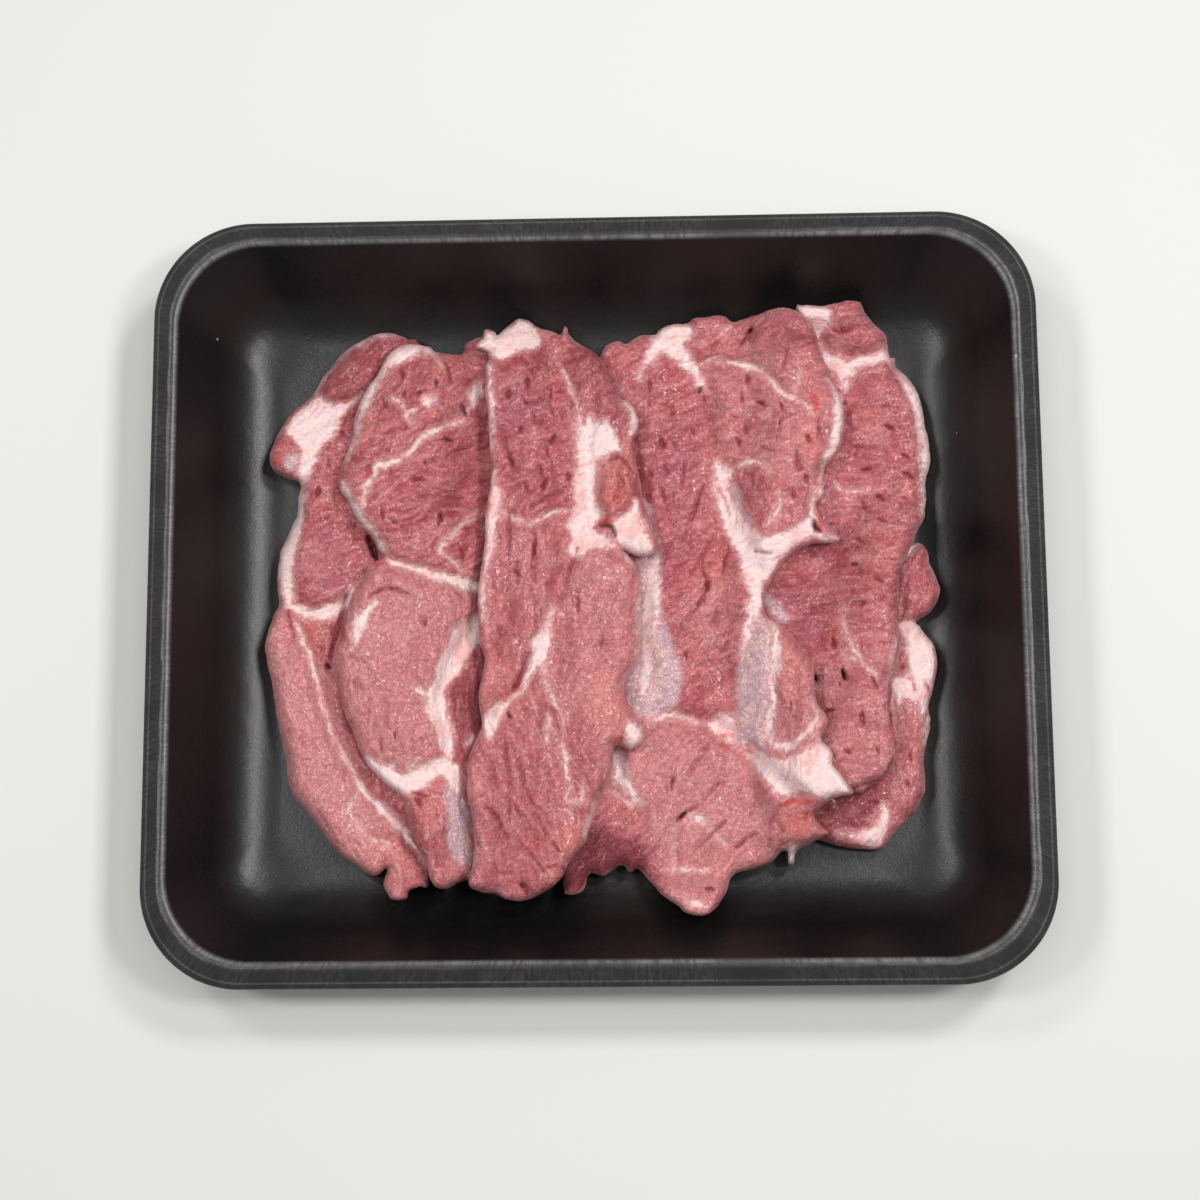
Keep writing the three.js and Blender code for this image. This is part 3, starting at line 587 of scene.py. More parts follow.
            (48.5, 29, 8, 6.5, 90, 0.3), (37, 12, 14, 5, 80, 0.4), (20, -30, 8, 8, 0, -0.2),
            # The mauve hue at 7, 62 is painted shade on a corner that lies in shadow.
            (66, 50, 12, 4, 90, 0.5), (31, -89, 6, 5, 0, 0.2), (7, 62, 9, 6, 0, -0.8),
        ],
    },
    "slice_left": {
        "thickness": 9.5,
        "edge": [
            -38, 79, -40, 75.5, -44, 75, -48, 76, -50, 77.5, -55, 78.5, -60, 77.5, -64, 74, -66, 69,
            -69, 65, -71, 61, -73, 56, -73.5, 50, -75, 46, -77, 40, -77.5, 34, -75, 30, -73, 26, -70, 21,
            -67, 18, -65.5, 15, -63.5, 11.5, -68, 10, -70, 5, -73, 1, -75, -5, -77, -12, -79, -20,
            -77, -27, -75, -35, -72, -42, -69, -49, -66, -53, -62, -56.5, -58, -60, -56, -66, -55, -72,
            -52, -77, -50, -80, -49, -84, -47, -87, -44, -87.5, -41, -86, -38.5, -85, -34, -84, -23, -60,
            -18, -20, -16, 20, -18, 52, -27, 78,
        ],
        "muscles": [
            (-54, 46, 32, 17, 62, 2, 15, -0.05), (-60, -22, 29, 14, 105, 2, 102, 0.35),
            (-50, -68, 9, 5, 90, 1.2, 100, 0), (-40, -34, 15, 5, 82, 0, 80, -0.35),
            (-58, 66, 14, 9, 55, 0.4, 45, -0.25),
        ],
        "sinks": [
            (4.5, 2.2, [-64, 11, -52, 8, -35, 2]), (4, 1.6, [-36, -8, -44, -21, -47, -34, -44, -46]),
            (4.5, 1.8, [-67, -50, -57, -55, -44, -50]), (3.5, 0.9, [-42, 55, -56, 45, -70, 31]),
        ],
        "fat": [
            (4, [-48, 76.5, -55, 77, -61, 75, -64.5, 70.5]),
            (3.6, [-62, 74, -64.5, 70.5, -67.5, 66, -70, 61, -71.5, 55]),
            (1.9, [-71, 57, -72.5, 49, -75, 43]),
            (1.6, [-39, 56, -40, 54, -45, 52.5, -50, 50, -54, 46.5, -58, 43, -62, 40.5, -66, 40, -68, 36,
                   -70, 31, -70.5, 28]),
            (1, [-36, 25, -40, 22, -43, 19, -46, 16.5, -46.5, 14, -43, 11, -40, 8, -37, 6.5]),
            (3, [-76.5, 35, -73.3, 28, -69, 22, -65.5, 17, -63, 13]),
            (2.8, [-63, 11.5, -55, 8.7, -50, 7, -45, 5.5]), (3.4, [-48, 6, -40, 4, -33, 1]),
            (0.7, [-61, 61, -57, 57, -55, 53]), (2.5, [-66, -2, -69, -5, -71, -9, -72, -13, -73, -15.5]),
            (7, [-33, -6, -40, -14, -44, -22, -47.5, -28]),
            (5, [-46, -24, -48, -30, -47, -36, -45, -42, -44, -48]),
            (6.2, [-68, -49, -65, -53, -60, -56, -56, -56, -50, -53, -45, -50]),
            (4.4, [-49, -51, -43, -53, -41, -59]), (2, [-50, -30, -54, -27]), (1.6, [-57, -54, -53, -49]),
            (1.6, [-63, -53, -60, -50]), (1.2, [-38, -45, -37, -42]), (3.8, [-37.3, 59, -35, 65]),
            (0.9, [-62, 62, -59, 60, -57, 57, -55.8, 54.5]), (0.7, [-57, 57, -54, 58]),
            (1.5, [-51, 62, -50.3, 59]), (0.6, [-48, 74, -46, 70]),
        ],
        "silver": [(5, [-38, -8, -42, -12]), (3.5, [-47, -30, -47, -34]), (2, [-50, 60, -48, 62])],
        "silverPatches": [
            [-45, -57, -41, -57, -38, -65, -37, -75, -37, -81, -41, -80, -44, -76, -44, -65],
        ],
        "creases": [
            (0.9, [-62, 24, -57, 20]), (0.7, [-54, 31, -40, 30]), (0.9, [-46.5, 25, -47, 22]),
            (2, [-68.5, 40, -68, 37]), (1.2, [-45, 72, -43.5, 66]), (1.6, [-74.5, -3, -76.5, -14]),
            (0.9, [-68, 0, -62, 2.5, -56, 1]), (0.9, [-64, -43, -63.5, -47]), (0.9, [-39, 14, -40, 11]),
            (1, [-55, -59, -50, -60]),
        ],
        "holes": [(0.7, [-40.3, 58.8, -38.5, 55.8]), (0.8, [-45.2, 48.2, -43.5, 47.5])],
        "red": [
            (0.9, [-65.5, 13.5, -61, 11.5, -57, 10.6]), (1.1, [-69, 10.2, -63, 10.4]),
            (1.4, [-69.5, 36, -68.6, 39]),
        ],
        "pits": [
            -58.5, 69, -64, 60, -57, 53, -64, 25, -51, 41, -46.5, 24, -72, -26, -51, -8, -73, -38,
            -62, 40, -53, -61, -58, 62, -40, 13, -60, -42, -48, 66,
        ],
        "gashes": [-46, 48.3, -39, 21, -66, -55, -53, 36, -53, 63, -40, 45],
        "hues": [
            (-45, 71, 8, 5, 0, 0.5), (-57, -2, 12, 5, 10, -0.5), (-52, 22, 12, 7, 0, -0.2),
            (-50, -68, 9, 5, 90, 0.4), (-66, -48, 5, 4, 0, 0.8), (-70, 52, 8, 3, 75, 0.8),
            (-45, -83, 8, 4, 0, 0.5),
        ],
    },
    "slice_centre_left": {
        "thickness": 10,
        "edge": [
            -36, 77, -34, 80, -33, 82.5, -30, 82, -29, 81, -25, 84.5, -23, 86, -20, 85.5, -17, 83.5,
            -13, 82, -10, 80.5, -8.4, 83, -7, 80, -4, 77.5, 0, 75, 3, 72, 5, 68, 7, 63, 8.5, 60, 11, 59.5,
            13.5, 55, 13.5, 49, 12, 46, 13.5, 38, 14.5, 30, 16, 25, 18.5, 18, 19, 13, 14, 11, 9, 13,
            12.5, 9, 14, 0, 14, -12, 13, -20, 10, -25, 8.5, -30, 11, -36, 14, -40, 14, -45, 10, -47,
            6, -46, 5, -52, 3, -57, 1, -61, -1, -66, -3, -73, -5, -76, -8, -80, -10, -84, -14, -88,
            -20, -90.5, -25, -91, -30, -89, -34, -88.5, -38, -86, -36.5, -80, -36, -72, -38, -60,
            -38, -50, -36, -45, -34, -38, -35, -30, -33, -20, -34, -16, -35, -10, -35, -4, -35, 3,
            -34, 10, -33, 18, -33, 25, -32, 30, -31, 36, -31.5, 42, -32, 50, -32, 56, -33, 62, -33, 70,
            -32, 75,
        ],
        "muscles": [
            (-17, 50, 27, 10, 95, 2.2, 20, -0.08), (-18, 4, 22, 10, 100, 1.4, 88, 0.12),
            (2, -16, 30, 11, 95, 2, 72, 0.26), (7, 33, 10, 5.5, 80, 2, 80, -0.05),
            # The muscle at 1, 64 is darkened by its low tone: painted shade where the muscles beside it
            # shade it.
            (-22, -66, 25, 12, 105, 1.8, 116, 0.12), (1, 64, 12, 7, 80, 0, 60, -0.3),
            (-5, -54, 12, 5, 105, 0.5, 112, 0.1),
        ],
        "sinks": [
            (4, 1.8, [0, 66, -2, 45, -1, 28, 2, 18]), (3.5, 1.2, [-28, 24, -18, 23, -6, 26]),
            (4.5, 2.2, [-10, 6, -15, -12, -21, -27, -31, -38]), (4, 1.2, [-13, -36, -8, -50, -3, -62]),
        ],
        "fat": [
            (1.8, [-33, 74, -32, 66, -31.3, 56, -31, 48, -30.8, 42]),
            (3.6, [-30.6, 38, -30, 30, -30.5, 24, -31.8, 17, -32.8, 8]),
            (1.6, [-32, 16, -33.5, 4, -34, -8]), (0.9, [-12, 73, -8, 67, -5.5, 59, -4, 50]),
            (1.3, [-27, 25, -22, 22.5, -18, 22, -14, 25, -8, 26]),
            (1.6, [8.5, 60, 11, 57, 12, 52, 11, 46]),
            (1.7, [-12, -2, -14, -8, -16, -14, -18, -20, -20, -25, -22, -30]),
            (0.9, [-15, -18, -15, -25, -12, -32]), (1.2, [-14, -36, -14.5, -44]),
            (0.9, [-20.5, -25, -22, -30, -24.5, -31, -27, -34]),
            (1.1, [-14, -20, -15, -26, -13, -31, -11, -34]), (3.8, [10.5, -39, 11.5, -43, 10.5, -45.5]),
            (0.9, [-8, -57, -9, -61.5, -5, -62, -4.2, -55]), (0.7, [-10, -36, -9.6, -46, -8, -57]),
            (1.8, [1, -60, -1, -66, -2, -68, -4, -76]), (0.9, [13.5, 2, 13.5, -12, 12.5, -20, 9.5, -26]),
            (1.4, [12.5, 28, 13.5, 24, 15, 20]), (1.2, [5, 15.5, 9, 12, 11.5, 8]),
        ],
        "fatPatches": [
            [-31.8, 36, -29.5, 32, -28.6, 28, -26.3, 24.6, -29, 24.3, -30, 20, -32, 20],
            [-31.5, -33, -28.5, -33, -27, -35, -28.5, -38, -30, -43.5, -32, -43, -34, -38],
            [-16.5, -10, -14, -8, -13.3, -14, -14, -20, -16, -21.5, -19, -20, -18.5, -15],
            [-36, 77, -34, 80, -33, 82.5, -30, 82, -25, 84.5, -23, 86, -20, 85.5, -17, 83.5, -16, 79,
             -20, 75.5, -24, 75, -28, 73, -31, 75],
            [-5, 53.5, -3, 52, -1.5, 55.5, 1, 52.5, 4, 54.5, 7, 48, 9.5, 43.5, 5, 43.5, 1.5, 40, 0.4, 35,
             0.8, 29, 2, 25.5, 1, 22, -2, 16, -6, 11.5, -8, 14, -7, 18, -8.5, 21, -6.8, 24, -6.2, 28,
             -5.8, 35, -5.2, 44],
            [6, 23, 9, 24, 13, 26.5, 14.5, 20, 18, 15, 19, 12, 14, 10.5, 8, 13.5, 7, 17, 5, 20],
            [-7, 21, -2, 21, 1, 19, 4, 17.5, 5.5, 15.5, 3, 14, -1, 13.5, -4, 11.5, -6.5, 12.5],
        ],
        "silver": [
            (3.5, [-13, -6, -17, -16, -21, -27]), (3, [14, -2, 13, -18]), (2.6, [-3, 40, -1, 36, 0, 30]),
            (2.2, [-1, 55, 2, 52]),
        ],
        "creases": [
            (0.9, [-5, 14, -8, 6, -10, 0, -12, -3]), (0.9, [-25.8, 25, -25.6, 16, -26, 9]),
            (1.1, [-18, 20, -18.5, 5]), (0.9, [-23.5, 10, -23.6, 3.5]),
            (1.1, [-33, -64, -31, -64.5, -29, -67.5, -26, -73]), (1, [-22, -75, -18, -79, -15.3, -82.5]),
            (1, [-21.5, -86, -20, -90]), (1, [-24, -63, -22.2, -66.5]),
            (1.1, [-27, -45, -26, -52, -25.3, -60, -25.6, -68]), (0.8, [-30.5, -51, -29, -58]),
            (0.8, [-23, -50, -20, -60, -16.5, -65]), (0.8, [-18, -66, -15, -72]),
            (0.8, [-13, -74, -11, -77]), (0.9, [-30, -80, -28.5, -83, -25, -83]),
            (0.9, [-15, -81, -10, -81, -9, -84]), (0.8, [-27, 48, -26, 43, -24.5, 38.5]),
            (0.6, [-19, 27, -12, 31]), (0.9, [-28, -10, -28.5, -18]), (0.6, [-22, 73, -18, 69]),
            (2.2, [-20, -18, -22, -24, -24.5, -29]), (0.9, [4.5, 41, 9, 41.5, 12, 37]),
            (0.8, [6, 29, 8, 34, 7, 38]),
        ],
        "holes": [
            (1, [2, 20.6, 5, 20.4, 6.5, 17.6]), (1, [-26.2, -35.5, -25.2, -37]),
            (0.8, [-22.3, -86, -21.5, -87.3]),
        ],
        "red": [
            (1.4, [11.5, 48, 13, 42, 13.8, 38]), (1, [1.5, 21.5, 7, 22.5]), (1, [5.5, -44.5, 8, -43.5]),
        ],
        "pits": [
            -18, 55, -9.5, 55, -12.3, 48, -25, 41, -16, 38, -15, 34, -21, 60, -20, 66, -26, 62, -23.5, 7,
            -18, 14, -20.5, 33, -22, 51, -5, -3, 13, 0, -14, 44, -8, 36, -13, 62, 2, -15, -6, 20,
        ],
        "gashes": [-12.6, 24, -6, 36],
        "hues": [
            (4, -34, 12, 7, 90, 0.9), (7, 33, 9, 6, 80, 0.7), (-5, -72, 9, 6, 60, 0.8),
            (-22, 60, 11, 8, 90, -0.8), (-10, -84, 8, 5, 0, 0.7), (12, 44, 7, 3, 90, 1),
            (-31, -20, 8, 4, 90, 0.6), (-24, -62, 12, 7, 100, -0.2),
        ],
    },
}


def placed(x, y, z):
    # Carries a drawn point along its line of sight to its own height: outlines are drawn as they look
    # at drawnHeight, so x moves by (x - eye x) * (drawnHeight - z) / (eye z - drawnHeight), and y likewise.
    eyeX, eyeY, eyeZ = meat["lookedAtFrom"]
    share = (meat["drawnHeight"] - z) / (eyeZ - meat["drawnHeight"])
    return x + (x - eyeX) * share, y + (y - eyeY) * share


def netFields():
    # The pile's net of points and the tray's inside height under each, found by repetition.
    netX, netY = np.meshgrid(meat["lowX"] + meat["net"] * np.arange(meat["columns"]),
                             meat["lowY"] + meat["net"] * np.arange(meat["rows"]))
    height = np.full(netX.shape, float(tray["floor"]))
    for _ in range(meat["netRounds"]):
        x, y = placed(netX, netY, height + meat["gap"])
        inset = np.minimum(tray["width"] / 2 - np.abs(x), tray["depth"] / 2 - np.abs(y))
        height = (height + insideHeight(inset)) / 2
    return netX, netY, height


def drape(pile):
    # The highest of the pile's heights nearby, each less the steepest fall times its distance beyond the
    # stiffness.
    reach = meat["drapeReach"]
    padded = np.pad(pile, reach, mode="constant")
    draped = pile.copy()
    for dj in range(-reach, reach + 1):
        for di in range(-reach, reach + 1):
            drop = max(0.0, np.hypot(di, dj) * meat["net"] - meat["stiffness"]) * meat["steepestFall"]
            rows = slice(reach + dj, reach + dj + pile.shape[0])
            columns = slice(reach + di, reach + di + pile.shape[1])
            shifted = padded[rows, columns]
            draped = np.maximum(draped, shifted - drop)
    return draped


def readNet(field, x, y):
    # Bilinear value of a net field.
    u = np.clip((x - meat["lowX"]) / meat["net"], 0, meat["columns"] - 1.001)
    v = np.clip((y - meat["lowY"]) / meat["net"], 0, meat["rows"] - 1.001)
    i, j = u.astype(int), v.astype(int)
    return between(field, i, j, u - i, v - j)


def blurred(field, rounds):
    # Repeated average with the four neighbours, half and half.
    for _ in range(rounds):
        edge = np.pad(field, 1, mode="edge")
        field = 0.5 * field + 0.125 * (edge[:-2, 1:-1] + edge[2:, 1:-1] + edge[1:-1, :-2] + edge[1:-1, 2:])
    return field


def thicknessAt(cut, distance, x, y):
    # The slice's thickness times a quarter round towards its edge, plus the highest muscle's rise, less each
    # sink.
    share = np.clip(-distance / meat["edgeRounding"], 0, 1)
    rounding = meat["edgeShare"] + (1 - meat["edgeShare"]) * np.sqrt(1 - (1 - share) ** 2)
    swell = np.zeros(x.shape)
    for muscle in cut["muscles"]:
        rise = muscle[5]
        swell = np.maximum(swell, rise * (1 - smoothStep(*meat["swell"], ellipseDistance(x, y, muscle))))
    for width, depth, points in cut["sinks"]:
        swell = swell - depth * (1 - smoothStep(0, width, pathDistance(x, y, pairs(points))))
    return cut["thickness"] * rounding + swell * share


def muscleShares(cut, x, y):
    # How much each muscle counts at a point: exp(-blend * (d - nearest d)) with d the elliptical distance,
    # brought to a sum of 1.
    away = np.stack([ellipseDistance(x, y, muscle) for muscle in cut["muscles"]])
    share = np.exp(-meat["blend"] * (away - away.min(axis=0)))
    return share / share.sum(axis=0)


def fibreWays(cut, shares, x, y, seed):
    # Unit vectors along the fibres: the muscles' turns are averaged as doubled angles, since a fibre has
    # no forward end, and then swayed by noise.
    turns = np.radians([muscle[6] for muscle in cut["muscles"]])
    sines, cosines = (np.tensordot(wave(2 * turns), shares, 1) for wave in (np.sin, np.cos))
    angle = 0.5 * np.arctan2(sines, cosines)
    angle = angle + radians(meat["fibreSway"]) * layeredNoise(x, y, meat["swaySize"], seed)
    return np.cos(angle), np.sin(angle)


def drawnOut(x, y, ways, size, reach, seed):
    # Noise drawn out along the fibres: the mean of softNoise over spots walked to both sides in steps of
    # half the noise's size, with the way looked up at each spot. It is brought to a spread of 1.
    cell, step = meat["cell"], 0.5 * size
    total = softNoise(x, y, size, seed)
    for side in (1, -1):
        px, py, wayX, wayY = x, y, side * ways[0], side * ways[1]
        for _ in range(int(reach / step)):
            px, py = px + wayX * step, py + wayY * step
            i = np.clip(np.rint((px - x[0, 0]) / cell), 0, x.shape[1] - 1).astype(int)
            j = np.clip(np.rint((py - y[0, 0]) / cell), 0, x.shape[0] - 1).astype(int)
            hereX, hereY = ways[0][j, i], ways[1][j, i]
            turned = np.where(hereX * wayX + hereY * wayY < 0, -1, 1)
            wayX, wayY = hereX * turned, hereY * turned
            total = total + softNoise(px, py, size, seed)
    return (total - total.mean()) / total.std()


def slits(cut, x, y, fat, seed):
    # Slits where the slice was pierced: the listed pits and gashes, and fainter ones on a shaken lattice.
    # Each is exp(-(along / long)^2 - (across / wide)^2), in coordinates that noise has shaken.
    rng = np.random.default_rng(seed)
    px, py = np.meshgrid(np.arange(x.min(), x.max(), slit["columnStep"]),
                         np.arange(y.min(), y.max(), slit["rowStep"]))
    px = px + 0.5 * slit["columnStep"] * (np.arange(px.shape[0])[:, None] % 2)
    strays = rng.uniform(-slit["stray"], slit["stray"], (px.size, 2))
    places = np.column_stack([px.ravel(), py.ravel()]) + strays
    upright, level = pairs(cut["pits"]), pairs(cut.get("gashes", []))
    listed = len(upright) + len(level)
    strength = np.concatenate([rng.uniform(*slit["listedStrength"], listed),
                               rng.uniform(*slit["otherStrength"], len(places))])
    places = np.vstack([upright, level, places])
    turns = np.full(len(places), float(slit["pitTurn"]))
    turns[len(upright):listed] = slit["gashTurn"]
    turns = np.radians(turns + rng.uniform(-slit["turnSpread"], slit["turnSpread"], len(places)))
    longs = slit["long"] * rng.uniform(*slit["longSpread"], len(places))
    wides = slit["wide"] * rng.uniform(*slit["wideSpread"], len(places))
    shakenX = x + slit["shake"] * layeredNoise(x, y, slit["shakeSize"], seed + 1)
    shakenY = y + slit["shake"] * layeredNoise(x, y, slit["shakeSize"], seed + 2)
    mark = np.zeros(x.shape)
    for (cx, cy), strong, turn, long, wide in zip(places, strength, turns, longs, wides):
        near = (np.abs(x - cx) < slit["reach"]) & (np.abs(y - cy) < slit["reach"])
        if not near.any():
            continue
        dx, dy = shakenX[near] - cx, shakenY[near] - cy
        along, across = dx * cos(turn) + dy * sin(turn), dy * cos(turn) - dx * sin(turn)
        dimple = strong * np.exp(-(along / long) ** 2 - (across / wide) ** 2)
        mark[near] = np.maximum(mark[near], dimple * smoothStep(*slit["clearOfFat"], fat[near]))
    return mark


def strokesIn(cut, key, x, y, widen):
    # Distance to the nearest of a slice's strokes under that key, negative inside.
    nearest = np.full(x.shape, outOfReach)
    for width, points in cut.get(key, []):
        path = smoothPath(pairs(points), pieces=3)
        nearest = np.minimum(nearest, strokeDistance(x, y, path, widen * width))
    return nearest


def patchesIn(cut, key, x, y):
    # Distance to the nearest of a slice's outlines under that key, negative inside.
    nearest = np.full(x.shape, outOfReach)
    for points in cut.get(key, []):
        outline = smoothPath(pairs(points), closed=True, pieces=3)
        nearest = np.minimum(nearest, outlineDistance(x, y, outline))
    return nearest


def warmthAt(cut, x, y):
    # Sum of the slice's hues, each full at its middle and eased to nothing just past its size.
    warm = np.zeros(x.shape)
    for hue in cut["hues"]:
        warmth = hue[5]
        warm = warm + warmth * (1 - smoothStep(*meat["hue"], ellipseDistance(x, y, hue)))
    return warm


def sliceFields(cut, x, y, seed):
    # Distances in mm to fat, silver skin, creases, holes and wet red (negative inside), in coordinates
    # that noise has shaken, by more for fat than for the others.
    shakeX = layeredNoise(x, y, meat["shakeSize"], seed + 40)
    shakeY = layeredNoise(x, y, meat["shakeSize"], seed + 50)
    fatX, fatY = x + meat["fatShake"] * shakeX, y + meat["fatShake"] * shakeY
    warpX, warpY = x + meat["otherShake"] * shakeX, y + meat["otherShake"] * shakeY
    fat = np.minimum(strokesIn(cut, "fat", fatX, fatY, meat["fatShare"]),
                     patchesIn(cut, "fatPatches", fatX, fatY))
    silver = np.minimum(strokesIn(cut, "silver", warpX, warpY, 1),
                        patchesIn(cut, "silverPatches", warpX, warpY))
    crease = strokesIn(cut, "creases", warpX, warpY, meat["creaseShare"])
    hole = strokesIn(cut, "holes", warpX, warpY, 1)
    red = strokesIn(cut, "red", warpX, warpY, meat["redShare"])
    return fat, silver, crease, hole, red


def makeSlice(name, cut, draped, seed):
    # A square net of points inside the slice's ragged outline, its rim moved onto the outline, at the
    # height drape + gap + thickness, closed by the same net at the slice's underside. Near the rim the top
    # falls a little more and the underside sinks. Above the knee the height nears the ceiling as a tanh.
    outline = smoothPath(pairs(cut["edge"]), closed=True)
    step = meat["cell"]
    lowest, highest = outline.min(axis=0) - 2 * step, outline.max(axis=0) + 2 * step
    x, y = np.meshgrid(np.arange(lowest[0], highest[0], step), np.arange(lowest[1], highest[1], step))

    def edgeDistance(px, py):
        # Signed distance to the ragged outline: the outline's plus the raggedness times a noise.
        ragged = layeredNoise(px, py, meat["raggedSize"], seed)
        return outlineDistance(px, py, outline) + meat["raggedness"] * ragged

    shares = muscleShares(cut, x, y)
    ways = fibreWays(cut, shares, x, y, seed + 3)
    strand = drawnOut(x, y, ways, meat["strandSize"], meat["strandReach"], seed + 8)
    bundle = drawnOut(x, y, ways, meat["bundleSize"], meat["bundleReach"], seed + 9)
    tone = np.tensordot(np.array([muscle[7] for muscle in cut["muscles"]]), shares, 1)
    distance = edgeDistance(x, y)
    slopeY, slopeX = np.gradient(distance, step)
    steepness = slopeX ** 2 + slopeY ** 2 + 1e-6
    within = distance < meat["within"] * step
    cells = within[:-1, :-1] & within[1:, :-1] & within[:-1, 1:] & within[1:, 1:]
    framed = np.pad(cells, 1)
    used = framed[:-1, :-1] | framed[1:, :-1] | framed[:-1, 1:] | framed[1:, 1:]
    whole = framed[:-1, :-1] & framed[1:, :-1] & framed[:-1, 1:] & framed[1:, 1:]
    rim = used & ~whole
    move = np.where(rim, distance / steepness, 0)
    shift = np.clip(np.stack([move * slopeX, move * slopeY]), -step, step)
    x, y = x - shift[0], y - shift[1]
    px, py = x[used], y[used]
    distance = np.where(rim[used], 0, np.minimum(distance[used], 0))

    fat, silver, crease, hole, red = sliceFields(cut, px, py, seed)
    warm = warmthAt(cut, px, py)
    strand, bundle, tone = strand[used], bundle[used], tone[used]
    marks = slits(cut, px, py, fat, seed + 7)
    nearRim = 1 - smoothStep(0, meat["rimRound"], -distance)
    bottom = readNet(draped, px, py) + meat["gap"]
    share = np.clip(-distance / meat["reliefRun"], 0, 1)
    lumps = layeredNoise(px, py, meat["lumpSize"], seed + 12)
    muscle = smoothStep(0, meat["muscleEase"], fat)
    top = bottom + thicknessAt(cut, distance, px, py)
    relief = meat["strandRise"] * strand + meat["bundleRise"] * bundle
    onFat = meat["fatRelief"]
    relief = relief * (onFat + (1 - onFat) * muscle)
    inHole = 1 - smoothStep(*meat["holeEase"], hole)
    top = top + share * (meat["muscleRise"] * muscle + relief + meat["lumpRise"] * lumps
                         - meat["creaseDepth"] * (1 - smoothStep(0, meat["creaseHalf"], crease))
                         - slit["depth"] * marks - meat["holeDepth"] * inHole)
    top, bottom = top - meat["rimFall"] * nearRim, bottom - meat["rimSink"] * nearRim
    spare = meat["ceiling"] - meat["knee"]
    top = np.where(top > meat["knee"], meat["knee"] + spare * np.tanh((top - meat["knee"]) / spare), top)

    index = np.full(used.shape, -1)
    index[used] = np.arange(used.sum())
    a, b, c, d = index[:-1, :-1][cells], index[:-1, 1:][cells], index[1:, 1:][cells], index[1:, :-1][cells]
    count = len(px)
    upper = np.column_stack([a, b, c, d])
    lower = np.column_stack([a, d, c, b]) + count
    sides = []
    # a neighbour's row and column among the framed cells, and the two corners of the side that faces it
    faces = ((0, 1, (0, 0), (0, 1)), (2, 1, (1, 1), (1, 0)),
             (1, 0, (1, 0), (0, 0)), (1, 2, (0, 1), (1, 1)))
    for row, column, first, second in faces:
        neighbour = framed[row:row + cells.shape[0], column:column + cells.shape[1]]
        j, i = np.nonzero(cells & ~neighbour)
        p, q = index[j + first[0], i + first[1]], index[j + second[0], i + second[1]]
        sides.append(np.column_stack([q, p, p + count, q + count]))
    quads = np.vstack([upper, lower] + sides)
    points = np.vstack([np.column_stack([*placed(px, py, top), top]),
                        np.column_stack([*placed(px, py, bottom), bottom])])
    values = (strand, bundle, fat, silver, crease, hole, marks, red, tone, warm, -distance)
    fields = {key: np.concatenate([value, value]) for key, value in zip(meatFields, values)}
    return makeMesh(name, points, quads, fields=fields, smoothCount=len(upper) + len(lower))


# Materials

class Wiring:
    # Adds nodes to a tree in short lines.

    def __init__(self, tree):
        self.tree = tree

    def add(self, kind, inputs=None, **settings):
        node = self.tree.nodes.new(kind)
        for key, value in settings.items():
            setattr(node, key, value)
        for key, value in (inputs or {}).items():
            socket = node.inputs[key]
            if isinstance(value, bpy.types.NodeSocket):
                self.tree.links.new(value, socket)
            else:
                socket.default_value = value
        return node

    def math(self, operation, a, b=0.0, c=0.0):
        return self.add("ShaderNodeMath", {0: a, 1: b, 2: c}, operation=operation).outputs[0]

    def plus(self, a, b):
        return self.math("ADD", a, b)

    def less(self, a, b):
        return self.math("SUBTRACT", a, b)

    def times(self, a, b):
        return self.math("MULTIPLY", a, b)

    def step(self, value, low, high):
        # Smooth step from 0 at low to 1 at high.
        return self.add("ShaderNodeMapRange", {"Value": value, "From Min": low, "From Max": high},
                        interpolation_type="SMOOTHSTEP").outputs["Result"]

    def mix(self, amount, a, b):
        # The colour a where the amount is 0 and b where it is 1. A Mix node's colours are its inputs 6 and 7
        # and its output 2.
        return self.add("ShaderNodeMix", {0: amount, 6: a, 7: b}, data_type="RGBA").outputs[2]

    def noise(self, vector, scale, detail, roughness, distortion=0.0):
        inputs = {"Vector": vector, "Scale": scale, "Detail": detail, "Roughness": roughness,
                  "Distortion": distortion}
        return self.add("ShaderNodeTexNoise", inputs).outputs["Fac"]

    def scaled(self, vector, scale):
        return self.add("ShaderNodeVectorMath", {0: vector, 1: scale}, operation="MULTIPLY").outputs[0]


def colour(red, green, blue):
    # Linear colour with full alpha from display values of 0 to 255: with v as a share of 255 it is
    # ((v + 0.055) / 1.055)^2.4, or v / 12.92 where the value is 10 or less.
    shares = [value / 255 for value in (red, green, blue)]
    linear = [v / 12.92 if v <= 10 / 255 else ((v + 0.055) / 1.055) ** 2.4 for v in shares]
    return (*linear, 1.0)


looks = {
    "muscle": colour(190, 106, 110), "deepMuscle": colour(150, 62, 70), "paleMuscle": colour(224, 158, 156),
    "salmon": colour(206, 112, 104), "mauve": colour(168, 92, 106),
    "darkTone": colour(104, 36, 46), "paleTone": colour(220, 154, 154), "thread": colour(232, 190, 186),
    "fat": colour(221, 195, 190), "pinkFat": colour(212, 156, 154), "lilac": colour(206, 180, 192),
    "pit": colour(118, 26, 40), "crease": colour(134, 40, 52),
    "blood": colour(206, 52, 44), "hole": colour(58, 12, 18),
    "roughness": 0.4, "glossSwing": 0.3, "wetness": 0.6, "coatRoughness": 0.19, "bumpHeight": 0.48,
    "fleckStretch": (1, 0.4, 1), "leastCrease": 0.5,
    "ior": 1.38, "subsurface": 0.1, "subsurfaceReach": 1.5, "subsurfaceRadius": (1.0, 0.35, 0.25),
}

